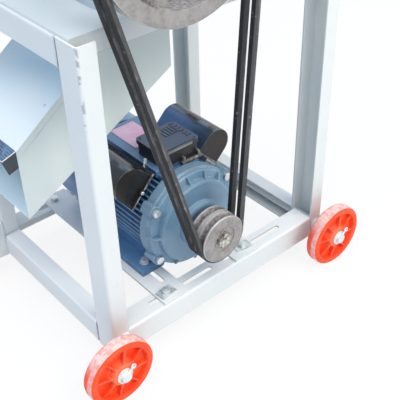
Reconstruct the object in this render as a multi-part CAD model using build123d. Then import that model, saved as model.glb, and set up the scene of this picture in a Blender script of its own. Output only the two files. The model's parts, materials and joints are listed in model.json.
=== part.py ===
"""Electric grain mill on a wheeled channel-steel frame.

Lengths are in millimetres. X runs along the pulley side of the frame, Y runs back from
the pulleys along the motor, and Z is up from the floor. The shapes are drawn from the
frame's front left corner and moved at the end, so that the origin is the middle of the
machine's footprint on the floor.
"""
import math
import os

from build123d import *

# Frame of folded steel channels
FRAME_X = 456.0
FRAME_Y = 370.0
SHEET = 3.0
BEND = 4.5
LEG_WEB = 46.0
LEG_FLANGE = 28.0
RAIL_H = 42.0
RAIL_FLANGE = 38.0
TOP_GAP = 427.0
TUBE = 24.0
SLOT_IN = 22.0
SLOT_W = 9.0
SLOT_L = 130.0

# Wheels and axles
WHEEL_R = 56.0
WHEEL_W = 27.0
WHEEL_OUT = 53.0
REAR_OUT = 32.0
AXLE_R = 8.0
AXLE_IN = 13.0
WHEEL_RIBS = 8
NEAR_AXLE_X = -19.0
NEAR_OUT = 50.0
NEAR_PLATE = 5.0
RUN_GAP = 0.08

# Motor, frame size 90
MOTOR_X = 200.0
SHAFT_UP = 90.0
STRAP_T = 4.0
STRAP_W = 50.0
STRAP_GAUGE = 150.0
STRAP_BOLT_GAUGE = 165.0
FOOT_GAUGE = 140.0
FOOT_SPAN = 100.0
SHOULDER = 36.0
FOOT_BACK = 56.0
BODY_R = 84.0
BELL_R = 86.5
DISC_R = 71.0
BOSS_R = 38.0
BOSS_OUT = 10.0
LUG_R = 85.0
BODY_L = 168.0
COVER_L = 82.0
FIN_H = 8.0
FIN_T = 2.6
FIN_STEP = 6.0
SHAFT_R = 12.0
PAD_W = 80.0
PAD_UP = 5.0
BOX_ASIDE = 7.0
BOX_W = 72.0
BOX_D = 62.0
BOX_H = 27.0
LID_T = 7.0
LID_OVER = 2.5
CLIP_R = 3.8

# Belt drive
PULLEY_R = 40.0
PULLEY_FRONT = -23.0
PULLEY_W = 37.0
GROOVE_PITCH = 20.0
DRIVEN_R = 125.0
DRIVEN_X = 150.0
MILL_SHAFT_R = 15.0
BELT_W = 12.5
BELT_T = 7.0
BELT_PROUD = 3.0
GROOVE_SIDE = 18.0
GROOVE_DEEP = 11.0

# Mill head, hopper and chute
DECK_T = 4.0
MILL_RISE = 110.0
CASING_R = 118.0
FLANGE_R = 130.0
CASING_BASE = 26.0
CHUTE_FRONT = 150.0
CHUTE_BACK = 318.0
CHUTE_SHEET = 1.5
MOUTH_X = -26.0
LIP_UP = 153.0
MOUTH_TOP_UP = 272.0
LOW_SLOPE = 0.5495
TOP_SLOPE = 0.714
HEM_T = 1.2
HEM_W = 13.0
VISOR_OUT = 24.0
VISOR_DEEP = 26.0
VISOR_SLOPE = 0.3
OUTLET_X = 100.0
OUTLET_W = 150.0
HOPPER_H = 250.0
HOPPER_HALF = 165.0
THROAT = 45.0
RIM = 10.0

# Heights and places that follow from the sizes above
AXLE_Z = WHEEL_R
RAIL_TOP = AXLE_Z + RAIL_H / 2
RAIL_BOT = RAIL_TOP - RAIL_H
TOP_LOW = RAIL_TOP + TOP_GAP
FRAME_TOP = TOP_LOW + RAIL_H
STRAP_TOP = RAIL_TOP + STRAP_T
MOTOR_Z = STRAP_TOP + SHAFT_UP
DECK_TOP = FRAME_TOP + DECK_T
DRIVEN_Z = DECK_TOP + MILL_RISE
REAR_LEG = FRAME_Y - LEG_WEB
BODY_FRONT = SHOULDER + 38.0
BODY_BACK = BODY_FRONT + BODY_L
MOTOR_BACK = BODY_BACK + COVER_L
FOOT_ROWS = (SHOULDER + FOOT_BACK, SHOULDER + FOOT_BACK + FOOT_SPAN)
STRAP_ROWS = (SLOT_IN, FRAME_Y - SLOT_IN)
STRAP_COLUMNS = (MOTOR_X - STRAP_GAUGE / 2, MOTOR_X + STRAP_GAUGE / 2)
BOLT_COLUMNS = (MOTOR_X - STRAP_BOLT_GAUGE / 2, MOTOR_X + STRAP_BOLT_GAUGE / 2)
FOOT_COLUMNS = (MOTOR_X - FOOT_GAUGE / 2, MOTOR_X + FOOT_GAUGE / 2)
GROOVES = (
    PULLEY_FRONT + PULLEY_W / 2 - GROOVE_PITCH / 2,
    PULLEY_FRONT + PULLEY_W / 2 + GROOVE_PITCH / 2,
)

parts = {}


def block(x0, x1, y0, y1, z0, z1):
    """A box between two corners."""
    size = Box(x1 - x0, y1 - y0, z1 - z0)
    return Pos((x0 + x1) / 2, (y0 + y1) / 2, (z0 + z1) / 2) * size


def rod_y(x, z, y0, y1, radius):
    """A round bar along Y."""
    return Pos(x, (y0 + y1) / 2, z) * (Rot(90, 0, 0) * Cylinder(radius, y1 - y0))


def rod_z(x, y, z0, z1, radius):
    """A round bar along Z."""
    return Pos(x, y, (z0 + z1) / 2) * Cylinder(radius, z1 - z0)


def rod_x(y, z, x0, x1, radius):
    """A round bar along X."""
    return Pos((x0 + x1) / 2, y, z) * (Rot(0, 90, 0) * Cylinder(radius, x1 - x0))


def ring_y(x, z, y0, y1, outer, inner):
    """A ring about an axis along Y."""
    return rod_y(x, z, y0, y1, outer) - rod_y(x, z, y0 - 1, y1 + 1, inner)


def upright(x, y, z, lean=0.0):
    """A drawing plane facing the pulley side: its own y points up, turned by lean degrees."""
    a = math.radians(lean)
    return Plane(origin=(x, y, z), x_dir=(math.cos(a), 0, -math.sin(a)), z_dir=(0, -1, 0))


def drawn_back(sketch, x, z, y0, y1, lean=0.0):
    """Extrudes a sketch that faces the pulley side, from y0 back to y1."""
    return extrude(upright(x, y1, z, lean) * sketch, amount=y1 - y0)


def outline_xz(points, y0, y1):
    """A flat outline in X and Z, from y0 back to y1."""
    return drawn_back(make_face(Polyline(*points, close=True)), 0, 0, y0, y1)


def turned_y(profile, x, z):
    """Turns a profile of (radius, y) points about an axis along Y."""
    face = make_face(Polyline(*profile, close=True))
    return Pos(x, 0, z) * revolve(face, Axis.Y)


def folded(width, height, keep):
    """A folded sheet section with rounded bends: keep is the part of the ring that stays."""
    outer = RectangleRounded(width, height, BEND)
    inner = RectangleRounded(width - 2 * SHEET, height - 2 * SHEET, BEND - SHEET)
    return (outer - inner) & keep


def channel(web, flange):
    """A U section: its web stands at x = 0 and its flanges point to +X."""
    keep = Pos(-flange / 2, 0) * Rectangle(flange, web)
    return Pos(flange, 0) * folded(2 * flange, web, keep)


def angle_bar(across, down):
    """An L section: its corner is at the origin and it opens to +x and -y."""
    keep = Pos(-across / 2, down / 2) * Rectangle(across, down)
    return Pos(across, -down) * folded(2 * across, 2 * down, keep)


# Legs: channels with the web on the outside and both flanges pointing inwards.
def leg(left, y0):
    section = channel(LEG_WEB, LEG_FLANGE)
    if left:
        place = Pos(0, y0 + LEG_WEB / 2, RAIL_BOT)
    else:
        place = Pos(FRAME_X, y0 + LEG_WEB / 2, RAIL_BOT) * Rot(0, 0, 180)
    solid = extrude(place * section, amount=FRAME_TOP - RAIL_BOT)
    if not left:
        solid -= rod_y(FRAME_X - AXLE_IN, AXLE_Z, y0 - 5, y0 + LEG_WEB + 5, AXLE_R + 0.02)
    return solid


parts["leg_front_left"] = leg(True, 0)
parts["leg_front_right"] = leg(False, 0)
parts["leg_rear_left"] = leg(True, REAR_LEG)
parts["leg_rear_right"] = leg(False, REAR_LEG)


# Slotted front and rear rails: angles with the upright side on the outside.
def slotted_rail(front):
    section = angle_bar(RAIL_FLANGE, RAIL_H)
    length = FRAME_X - 2 * LEG_FLANGE
    if front:
        plane = Plane(origin=(LEG_FLANGE, 0, RAIL_TOP), x_dir=(0, 1, 0), z_dir=(1, 0, 0))
        solid = extrude(plane * section, amount=length)
    else:
        plane = Plane(origin=(FRAME_X - LEG_FLANGE, FRAME_Y, RAIL_TOP), x_dir=(0, -1, 0), z_dir=(-1, 0, 0))
        solid = extrude(plane * section, amount=length)
    y = SLOT_IN if front else FRAME_Y - SLOT_IN
    for middle in (FRAME_X / 2 - 80.5, FRAME_X / 2 + 76):
        slot = SlotOverall(SLOT_L, SLOT_W)
        solid -= extrude(Pos(middle, y, RAIL_TOP - 10) * slot, amount=20)
    return solid


parts["rail_front"] = slotted_rail(True)
parts["rail_rear"] = slotted_rail(False)


# Side rails: channels that open inwards, between the legs.
def side_rail(left, z0):
    section = channel(RAIL_H, LEG_FLANGE)
    length = REAR_LEG - LEG_WEB
    z = z0 + RAIL_H / 2
    if left:
        plane = Plane(origin=(0, REAR_LEG, z), x_dir=(1, 0, 0), z_dir=(0, -1, 0))
    else:
        plane = Plane(origin=(FRAME_X, LEG_WEB, z), x_dir=(-1, 0, 0), z_dir=(0, 1, 0))
    return extrude(plane * section, amount=length)


parts["rail_left"] = side_rail(True, RAIL_BOT)
parts["rail_right"] = side_rail(False, RAIL_BOT)
parts["top_rail_left"] = side_rail(True, TOP_LOW)
parts["top_rail_right"] = side_rail(False, TOP_LOW)

# Top cross tubes, nested in the legs: the front one lies behind the belts.
for name, y1 in (("top_rail_front", LEG_WEB - SHEET), ("top_rail_rear", FRAME_Y - SHEET)):
    hollow = Rectangle(TUBE, TUBE) - Rectangle(TUBE - 4, TUBE - 4)
    plane = Plane(origin=(BEND, y1 - TUBE / 2, FRAME_TOP - TUBE / 2), x_dir=(0, 1, 0), z_dir=(1, 0, 0))
    parts[name] = extrude(plane * hollow, amount=FRAME_X - 2 * BEND)


def wheel(x, y0):
    """A moulded wheel: hub, dished web with ribs on both faces, and a rounded tread."""
    y1 = y0 + WHEEL_W
    mid = (y0 + y1) / 2
    rim = WHEEL_R - 11
    profile = [
        (AXLE_R + RUN_GAP, y0), (17, y0), (19, y0 + 2), (20, mid - 3), (rim - 2, mid - 3), (rim, y0 + 3),
        (rim + 2, y0 + 1.5), (WHEEL_R - 4, y0 + 1.5), (WHEEL_R - 1, y0 + 4), (WHEEL_R, y0 + 8),
        (WHEEL_R, y1 - 8), (WHEEL_R - 1, y1 - 4), (WHEEL_R - 4, y1 - 1.5), (rim + 2, y1 - 1.5),
        (rim, y1 - 3), (rim - 2, mid + 3), (20, mid + 3), (19, y1 - 2), (17, y1), (AXLE_R + RUN_GAP, y1),
    ]
    solid = turned_y(profile, x, AXLE_Z)
    side = Polyline((18, -WHEEL_W / 2 + 2), (rim + 1, -WHEEL_W / 2 + 5), (rim + 1, WHEEL_W / 2 - 5),
                    (18, WHEEL_W / 2 - 2), close=True)
    web = extrude(make_face(side), amount=1.6, both=True)
    for i in range(WHEEL_RIBS):
        turn = i * 360 / WHEEL_RIBS + 10
        solid += Pos(x, mid, AXLE_Z) * (Rot(0, turn, 0) * web)
    return solid


RIGHT_AXLE_X = FRAME_X - AXLE_IN
parts["wheel_front_right"] = wheel(RIGHT_AXLE_X, -WHEEL_OUT)
parts["wheel_rear_right"] = wheel(RIGHT_AXLE_X, FRAME_Y + REAR_OUT - WHEEL_W)


def axle_end(x, z, hub, out):
    """Washer and cotter pin outside a wheel hub: out is the direction, 1 or -1."""
    y0 = hub + out * 0.4
    y1 = y0 + out * 2.0
    washer = ring_y(x, z, min(y0, y1), max(y0, y1), 13, AXLE_R)
    pin = Rot(0, 48, 0) * (Pos(0, 0, 4) * Cylinder(1.6, 30))
    eye = Rot(0, 48, 0) * (Pos(0, 0, 19) * (Rot(90, 0, 0) * Torus(3.4, 1.2)))
    return washer + Pos(x, y1 + out * 2.2, z) * (pin + eye)


rod = rod_y(RIGHT_AXLE_X, AXLE_Z, -WHEEL_OUT - 8, FRAME_Y + REAR_OUT + 8, AXLE_R)
for hub, out in ((-WHEEL_OUT, -1), (FRAME_Y + REAR_OUT, 1)):
    rod += axle_end(RIGHT_AXLE_X, AXLE_Z, hub, out)
for y0, y1 in ((-WHEEL_OUT + WHEEL_W + 0.4, 0), (FRAME_Y, FRAME_Y + REAR_OUT - WHEEL_W - 0.4)):
    rod += ring_y(RIGHT_AXLE_X, AXLE_Z, y0, y1, 12, AXLE_R)
parts["axle_right"] = rod

# Rear left wheel on a stub axle, carried by a bracket beside the leg.
LEFT_AXLE_X = -(WHEEL_R + 6)
side_plate = make_face(Polyline((LEFT_AXLE_X - 16, RAIL_BOT + 4), (0, RAIL_BOT), (0, RAIL_TOP + 30),
                                (LEFT_AXLE_X + 2, RAIL_TOP + 2), (LEFT_AXLE_X - 16, RAIL_TOP - 8), close=True))
bracket = drawn_back(side_plate, 0, 0, REAR_LEG, REAR_LEG + 4)
bracket += block(-30, 0, REAR_LEG + 4, REAR_LEG + 8, RAIL_BOT, RAIL_BOT + 4)
stub_hub = REAR_LEG + 4 + 6 + WHEEL_W
bracket += rod_y(LEFT_AXLE_X, AXLE_Z, REAR_LEG + 2, stub_hub + 8, AXLE_R)
bracket += ring_y(LEFT_AXLE_X, AXLE_Z, REAR_LEG + 3, REAR_LEG + 9.6, 12, AXLE_R - 1)
bracket += axle_end(LEFT_AXLE_X, AXLE_Z, stub_hub, 1)
parts["wheel_bracket"] = bracket
parts["wheel_rear_left"] = wheel(LEFT_AXLE_X, REAR_LEG + 10)

# Front left wheel on a stub axle, carried by a plate on the leg's front face.
front_plate = make_face(Polyline((NEAR_AXLE_X - 15, RAIL_BOT + 6), (LEG_FLANGE - 2, RAIL_BOT + 1),
                                 (LEG_FLANGE - 2, RAIL_TOP - 2), (0, RAIL_TOP - 2),
                                 (NEAR_AXLE_X - 15, AXLE_Z + 13), close=True))
front_bracket = drawn_back(front_plate, 0, 0, -NEAR_PLATE, 0)
front_bracket += rod_y(NEAR_AXLE_X, AXLE_Z, -NEAR_OUT - 8, -1, AXLE_R)
front_bracket += ring_y(NEAR_AXLE_X, AXLE_Z, -NEAR_OUT + WHEEL_W + 0.4, -NEAR_PLATE + 1, 12, AXLE_R - 1)
front_bracket += axle_end(NEAR_AXLE_X, AXLE_Z, -NEAR_OUT, -1)
parts["wheel_bracket_front"] = front_bracket
parts["wheel_front_left"] = wheel(NEAR_AXLE_X, -NEAR_OUT)


# Motor straps, laid across the two slotted rails and held by bolts through the slots.
def bolt(x, y, z, length):
    """A hexagon bolt standing head up: z is the face under its washer."""
    shank = rod_z(x, y, z - length, z, 4)
    washer = rod_z(x, y, z, z + 1.6, 8.5)
    head = extrude(Pos(x, y, z + 1.6) * RegularPolygon(7.2, 6), amount=5.5)
    return shank + washer + head


for side, name in enumerate(("motor_strap_left", "motor_strap_right")):
    flat = Pos(STRAP_COLUMNS[side], FRAME_Y / 2) * Rectangle(STRAP_W, FRAME_Y - 4)
    for y in STRAP_ROWS:
        flat -= Pos(BOLT_COLUMNS[side], y) * Circle(4.3)
    for y in FOOT_ROWS:
        flat -= Pos(FOOT_COLUMNS[side], y) * Circle(4.3)
    parts[name] = extrude(Pos(0, 0, RAIL_TOP) * flat, amount=STRAP_T)

strap_bolts = [bolt(x, y, STRAP_TOP, STRAP_T + SHEET + 6) for x in BOLT_COLUMNS for y in STRAP_ROWS]
parts["strap_bolts"] = Compound(children=strap_bolts)

# Motor body: a round casing with cooling fins along it, a top pad and two cast feet.
section = Circle(BODY_R - FIN_H)
turns = int(360 / FIN_STEP)
for i in range(turns):
    turn = i * FIN_STEP
    from_top = min(turn, 360 - turn)
    if from_top < 26 or from_top > 140:
        continue
    fin = Pos(0, BODY_R - FIN_H / 2 - 1) * Rectangle(FIN_T, FIN_H + 2)
    section += Rot(0, 0, -turn) * fin
section += Pos(0, BODY_R - 16) * Rectangle(2 * 36, 28)
body = drawn_back(section, MOTOR_X, MOTOR_Z, BODY_FRONT, BODY_BACK)
half_gauge = FOOT_GAUGE / 2
pad_top = -SHAFT_UP + 10
foot_outline = [
    (-half_gauge - 18, -SHAFT_UP), (-half_gauge - 18, pad_top), (-half_gauge + 10, pad_top),
    (-half_gauge + 12, pad_top + 16), (-half_gauge + 2, -34), (half_gauge - 2, -34),
    (half_gauge - 12, pad_top + 16), (half_gauge - 10, pad_top), (half_gauge + 18, pad_top),
    (half_gauge + 18, -SHAFT_UP), (half_gauge - 24, -SHAFT_UP), (half_gauge - 32, -SHAFT_UP + 12),
    (-half_gauge + 32, -SHAFT_UP + 12), (-half_gauge + 24, -SHAFT_UP),
]
foot_face = make_face(Polyline(*foot_outline, close=True))
body += drawn_back(foot_face, MOTOR_X, MOTOR_Z, BODY_FRONT, FOOT_ROWS[1] + FOOT_ROWS[0] - BODY_FRONT)
for x in FOOT_COLUMNS:
    for y in FOOT_ROWS:
        body -= rod_z(x, y, STRAP_TOP - 1, STRAP_TOP + 12, 4.3)
        body -= rod_z(x, y, STRAP_TOP + 10, STRAP_TOP + 30, 9.2)
pad_x = (MOTOR_X - PAD_W / 2, MOTOR_X + PAD_W / 2)
PAD_TOP = MOTOR_Z + BODY_R + PAD_UP
body += block(*pad_x, BODY_FRONT + 10, BODY_BACK - 6, PAD_TOP - 11, PAD_TOP)
parts["motor_body"] = body

foot_bolts = [bolt(x, y, STRAP_TOP + 10, 18) for x in FOOT_COLUMNS for y in FOOT_ROWS]
parts["foot_bolts"] = Compound(children=foot_bolts)

# Front end cover: a smooth disc with a raised boss, stepped back to a ribbed ring with four bolt lugs.
bell = turned_y([
    (SHAFT_R + RUN_GAP, SHOULDER - BOSS_OUT), (BOSS_R - 4, SHOULDER - BOSS_OUT), (BOSS_R, SHOULDER - BOSS_OUT + 2),
    (BOSS_R + 2, SHOULDER), (DISC_R - 3, SHOULDER + 1), (DISC_R, SHOULDER + 3), (DISC_R + 1, SHOULDER + 12),
    (BELL_R - 4, SHOULDER + 14), (BELL_R - 2.5, SHOULDER + 16), (BELL_R - 2.5, SHOULDER + 21),
    (BELL_R, SHOULDER + 23), (BELL_R, BODY_FRONT), (SHAFT_R + RUN_GAP, BODY_FRONT),
], MOTOR_X, MOTOR_Z)
LUG_TURNS = (-57, 57, 123, -123)
for turn in LUG_TURNS:
    lug = Pos(0, LUG_R) * RectangleRounded(18, 18, 4)
    bell += drawn_back(lug, MOTOR_X, MOTOR_Z, SHOULDER + 15, BODY_FRONT, turn)
BELL_RIBS = (-90, -30, -6, 18, 42, 90, 150, 180, 210)
rib = make_face(Polyline((DISC_R - 2, SHOULDER + 4), (BELL_R - 4, SHOULDER + 10), (BELL_R - 4, SHOULDER + 18),
                         (DISC_R - 2, SHOULDER + 18), close=True))
for turn in BELL_RIBS:
    fin = extrude(Plane(origin=(0, 0, 0), x_dir=(0, 0, 1), z_dir=(-1, 0, 0)) * rib, amount=1.8, both=True)
    bell += Pos(MOTOR_X, 0, MOTOR_Z) * (Rot(0, turn, 0) * fin)
for turn in LUG_TURNS:
    head = Pos(0, LUG_R) * RegularPolygon(5.6, 6)
    bell += drawn_back(head, MOTOR_X, MOTOR_Z, SHOULDER + 10, SHOULDER + 15, turn)
parts["motor_end_cover"] = bell

# Fan cover with radial air slots in its back.
COVER_R = BODY_R + 4
cover = turned_y([
    (0, BODY_BACK), (COVER_R, BODY_BACK), (COVER_R, MOTOR_BACK - 14), (COVER_R - 4, MOTOR_BACK - 7),
    (COVER_R - 11, MOTOR_BACK - 2), (COVER_R - 18, MOTOR_BACK), (0, MOTOR_BACK),
], MOTOR_X, MOTOR_Z)
for i in range(16):
    slot = Pos(0, 44) * (Rot(0, 0, 90) * SlotOverall(40, 6))
    cover -= drawn_back(slot, MOTOR_X, MOTOR_Z, MOTOR_BACK - 3, MOTOR_BACK + 1, i * 22.5)
parts["motor_fan_cover"] = cover

# Terminal box, its lid with raised bars, the nameplate and the cable clip.
BOX_TOP = PAD_TOP + BOX_H
BOX_Y = BODY_FRONT + 9 + BOX_D / 2
BOX_FRONT = BOX_Y - BOX_D / 2
BOX_X = MOTOR_X + BOX_ASIDE
box_outline = RectangleRounded(BOX_W, BOX_D, 5)
lid_outline = RectangleRounded(BOX_W + 2 * LID_OVER, BOX_D + 2 * LID_OVER, 5 + LID_OVER)
terminal = extrude(Pos(BOX_X, BOX_Y, PAD_TOP) * box_outline, amount=BOX_H - LID_T)
terminal += extrude(Pos(BOX_X, BOX_Y, BOX_TOP - LID_T) * lid_outline, amount=LID_T)
for i in range(5):
    x = BOX_X + i * 6
    terminal += block(x, x + 3, BOX_Y + 2, BOX_Y + 24, BOX_TOP - 1, BOX_TOP + 1.2)
terminal += block(BOX_X - 28, BOX_X + 29, BOX_FRONT, BOX_FRONT + 9, BOX_TOP - 1, BOX_TOP + 1.5)
parts["terminal_box"] = terminal
parts["nameplate"] = block(MOTOR_X - 24, MOTOR_X + 22, BOX_Y + 42, BOX_Y + 112, PAD_TOP, PAD_TOP + 1)
CLIP_Z = PAD_TOP - 3
clip = rod_x(BOX_FRONT - CLIP_R, CLIP_Z, BOX_X - 1, BOX_X + 37, CLIP_R)
for x in (BOX_X + 1, BOX_X + 30):
    clip += block(x, x + 4, BOX_FRONT - 7, BOX_FRONT, CLIP_Z, PAD_TOP + 8)
parts["cable_clip"] = clip


# Capacitor covers: domed boxes on both shoulders of the body.
def capacitor(lean, width, height, y0, length, reach):
    """A cover with a round back: lean turns it from upright, reach is its base from the shaft."""
    half = width / 2
    spring = reach + height - half
    round_top = ThreePointArc((half, spring), (0, spring + half), (-half, spring))
    walls = Polyline((-half, spring), (-half, reach), (half, reach), (half, spring))
    shape = make_face([round_top, walls])
    solid = drawn_back(shape, MOTOR_X, MOTOR_Z, y0, y0 + length, lean)
    flange = Pos(0, reach - 1) * Rectangle(width + 8, 2)
    solid += drawn_back(flange, MOTOR_X, MOTOR_Z, y0 - 3, y0 + length + 3, lean)
    post = Pos(0, (reach - 2 + BODY_R - 20) / 2) * Rectangle(width - 26, reach - 2 - BODY_R + 20)
    foot = drawn_back(post, MOTOR_X, MOTOR_Z, y0 + 10, y0 + length - 10, lean)
    return solid, foot


left_cap, left_post = capacitor(-46, 56, 54, BODY_FRONT + 12, 112, 96)
right_cap, right_post = capacitor(46, 50, 50, BODY_FRONT + 14, 112, 94)
parts["motor_body"] += left_post
parts["motor_body"] += right_post
parts["capacitor_left"] = left_cap
parts["capacitor_right"] = right_cap

# Rotor: shaft with its key, and the two-groove pulley.
shaft = rod_y(MOTOR_X, MOTOR_Z, PULLEY_FRONT - 4, BODY_FRONT, SHAFT_R)
shaft -= block(MOTOR_X - 4, MOTOR_X + 4, PULLEY_FRONT - 5, PULLEY_FRONT + 20, MOTOR_Z + SHAFT_R - 4, MOTOR_Z + 30)
parts["motor_shaft"] = shaft


def pulley(x, z, radius, bore_r):
    """A two-groove V-belt pulley about Y."""
    front = PULLEY_FRONT
    back = front + PULLEY_W
    top = BELT_W / 2 - BELT_PROUD * math.tan(math.radians(GROOVE_SIDE)) + 0.4
    low = top - GROOVE_DEEP * math.tan(math.radians(GROOVE_SIDE))
    profile = [(bore_r, front), (radius - 1, front), (radius, front + 1)]
    for g in GROOVES:
        profile += [(radius, g - top), (radius - GROOVE_DEEP, g - low)]
        profile += [(radius - GROOVE_DEEP, g + low), (radius, g + top)]
    profile += [(radius, back - 1), (radius - 1, back), (bore_r, back)]
    return turned_y(profile, x, z)


small = pulley(MOTOR_X, MOTOR_Z, PULLEY_R, SHAFT_R)
small -= ring_y(MOTOR_X, MOTOR_Z, PULLEY_FRONT - 1, PULLEY_FRONT + 1, 22, 17)
parts["motor_pulley"] = small

big = pulley(DRIVEN_X, DRIVEN_Z, DRIVEN_R, MILL_SHAFT_R)
window = Circle(DRIVEN_R - 22) - Circle(34)
for i in range(5):
    arm = make_face(Polyline((-13, 20), (13, 20), (9, DRIVEN_R), (-9, DRIVEN_R), close=True))
    window -= Rot(0, 0, i * 72 + 12) * arm
big -= drawn_back(window, DRIVEN_X, DRIVEN_Z, PULLEY_FRONT - 1, PULLEY_FRONT + PULLEY_W + 1)
thin = Circle(DRIVEN_R - 24) - Circle(36)
big -= drawn_back(thin, DRIVEN_X, DRIVEN_Z, PULLEY_FRONT - 1, PULLEY_FRONT + 8)
big -= drawn_back(thin, DRIVEN_X, DRIVEN_Z, PULLEY_FRONT + PULLEY_W - 8, PULLEY_FRONT + PULLEY_W + 1)
parts["driven_pulley"] = big


# Belts: closed loops with a wedge section around both pulleys.
def belt(groove):
    """One V-belt in the plane y = groove."""
    across = DRIVEN_X - MOTOR_X
    up = DRIVEN_Z - MOTOR_Z
    span = math.hypot(across, up)
    lean = math.atan2(up, across)
    r0 = PULLEY_R + BELT_PROUD
    r1 = DRIVEN_R + BELT_PROUD
    beta = math.acos((r0 - r1) / span)

    def on(cx, cz, r, angle):
        return (cx + r * math.cos(angle), groove, cz + r * math.sin(angle))

    a0 = on(MOTOR_X, MOTOR_Z, r0, lean + beta)
    a1 = on(DRIVEN_X, DRIVEN_Z, r1, lean + beta)
    b0 = on(MOTOR_X, MOTOR_Z, r0, lean - beta)
    b1 = on(DRIVEN_X, DRIVEN_Z, r1, lean - beta)
    top = on(DRIVEN_X, DRIVEN_Z, r1, lean)
    bottom = on(MOTOR_X, MOTOR_Z, r0, lean + math.pi)
    path = Wire([Line(a0, a1), ThreePointArc(a1, top, b1), Line(b1, b0), ThreePointArc(b0, bottom, a0)])
    start = Vector(*a0)
    inward = (Vector(MOTOR_X, groove, MOTOR_Z) - start).normalized()
    wide = BELT_W / 2
    narrow = wide - BELT_T * math.tan(math.radians(GROOVE_SIDE))
    corners = []
    for side, depth in ((-wide, 0.0), (wide, 0.0), (narrow, BELT_T), (-narrow, BELT_T)):
        corners.append(start + Vector(0, side, 0) + inward * depth)
    section = Face(Wire(Polyline(*corners, close=True).edges()))
    return sweep(section, path=path)


parts["belt_front"] = belt(GROOVES[0])
parts["belt_rear"] = belt(GROOVES[1])

# Deck plate with the outlet opening.
OUTLET_END = OUTLET_X + OUTLET_W
deck = block(SHEET, FRAME_X - SHEET, LEG_WEB - SHEET - TUBE, FRAME_Y, FRAME_TOP, DECK_TOP)
deck -= block(OUTLET_X, OUTLET_END, CHUTE_FRONT + 6, CHUTE_BACK - 6, FRAME_TOP - 1, DECK_TOP + 1)
parts["deck_plate"] = deck

# Mill shaft in its bearing housing: a flanged tube on two tapered cheeks and a base.
HOUSE_FRONT = 58.0
HOUSE_BACK = CHUTE_FRONT - 8
house = turned_y([
    (MILL_SHAFT_R + RUN_GAP, HOUSE_FRONT), (38, HOUSE_FRONT), (40, HOUSE_FRONT + 2), (40, HOUSE_FRONT + 10),
    (31, HOUSE_FRONT + 12), (31, HOUSE_BACK - 12), (40, HOUSE_BACK - 10), (40, HOUSE_BACK),
    (MILL_SHAFT_R + RUN_GAP, HOUSE_BACK),
], DRIVEN_X, DRIVEN_Z)
cheek = make_face(Polyline((-62, DECK_TOP - DRIVEN_Z), (62, DECK_TOP - DRIVEN_Z), (28, -8), (-28, -8), close=True))
for y0 in (HOUSE_FRONT + 12, HOUSE_BACK - 24):
    house += drawn_back(cheek, DRIVEN_X, DRIVEN_Z, y0, y0 + 12) - rod_y(DRIVEN_X, DRIVEN_Z, y0 - 1, y0 + 13, 20)
rib_face = Rectangle(12, HOUSE_BACK - HOUSE_FRONT - 26)
middle_y = (HOUSE_FRONT + HOUSE_BACK) / 2
house += extrude(Pos(DRIVEN_X, middle_y, DECK_TOP) * rib_face, amount=DRIVEN_Z - DECK_TOP - 25)
base = RectangleRounded(156, HOUSE_BACK - HOUSE_FRONT - 8, 8)
house += extrude(Pos(DRIVEN_X, middle_y, DECK_TOP) * base, amount=10)
parts["bearing_housing"] = house
parts["mill_shaft"] = rod_y(DRIVEN_X, DRIVEN_Z, PULLEY_FRONT - 6, CHUTE_FRONT + 18, MILL_SHAFT_R)

# Grinding casing: a flanged drum, flat below, on the outlet box.
CASE_FRONT = CHUTE_FRONT
CASE_BACK = CHUTE_BACK - 28
case = turned_y([
    (MILL_SHAFT_R + RUN_GAP, CASE_FRONT), (44, CASE_FRONT), (52, CASE_FRONT + 4), (FLANGE_R - 3, CASE_FRONT + 6),
    (FLANGE_R, CASE_FRONT + 9), (FLANGE_R, CASE_FRONT + 18), (CASING_R, CASE_FRONT + 20),
    (CASING_R, CASE_BACK - 14), (FLANGE_R, CASE_BACK - 12), (FLANGE_R, CASE_BACK), (0, CASE_BACK),
    (0, CASE_FRONT + 20), (MILL_SHAFT_R + RUN_GAP, CASE_FRONT + 20),
], DRIVEN_X, DRIVEN_Z)
below = (DRIVEN_X - 2 * FLANGE_R, DRIVEN_X + 2 * FLANGE_R, CASE_FRONT - 5, CHUTE_BACK + 50)
case -= block(*below, DRIVEN_Z - 2 * FLANGE_R, DECK_TOP)
case += block(OUTLET_X - 30, OUTLET_END + 10, CASE_FRONT + 4, CASE_BACK, DECK_TOP, DECK_TOP + CASING_BASE)
parts["mill_casing"] = case

# Door on the back of the casing, with a boss, a rim and three clamp knobs fixed in it.
door = turned_y([
    (0, CASE_BACK), (FLANGE_R - 4, CASE_BACK), (FLANGE_R - 4, CASE_BACK + 10), (FLANGE_R - 10, CASE_BACK + 12),
    (60, CASE_BACK + 14), (40, CASE_BACK + 20), (22, CASE_BACK + 22), (0, CASE_BACK + 22),
], DRIVEN_X, DRIVEN_Z)
door -= block(*below, DRIVEN_Z - 2 * FLANGE_R, DECK_TOP + 1)
for turn in (-60, 0, 60):
    x = DRIVEN_X + (FLANGE_R - 16) * math.sin(math.radians(turn))
    z = DRIVEN_Z + (FLANGE_R - 16) * math.cos(math.radians(turn))
    knob = rod_y(x, z, CASE_BACK + 11, CASE_BACK + 26, 5)
    knob += turned_y([(0, CASE_BACK + 24), (13, CASE_BACK + 24), (15, CASE_BACK + 28), (13, CASE_BACK + 36),
                      (0, CASE_BACK + 38)], x, z)
    door += knob
parts["casing_door"] = door

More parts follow.
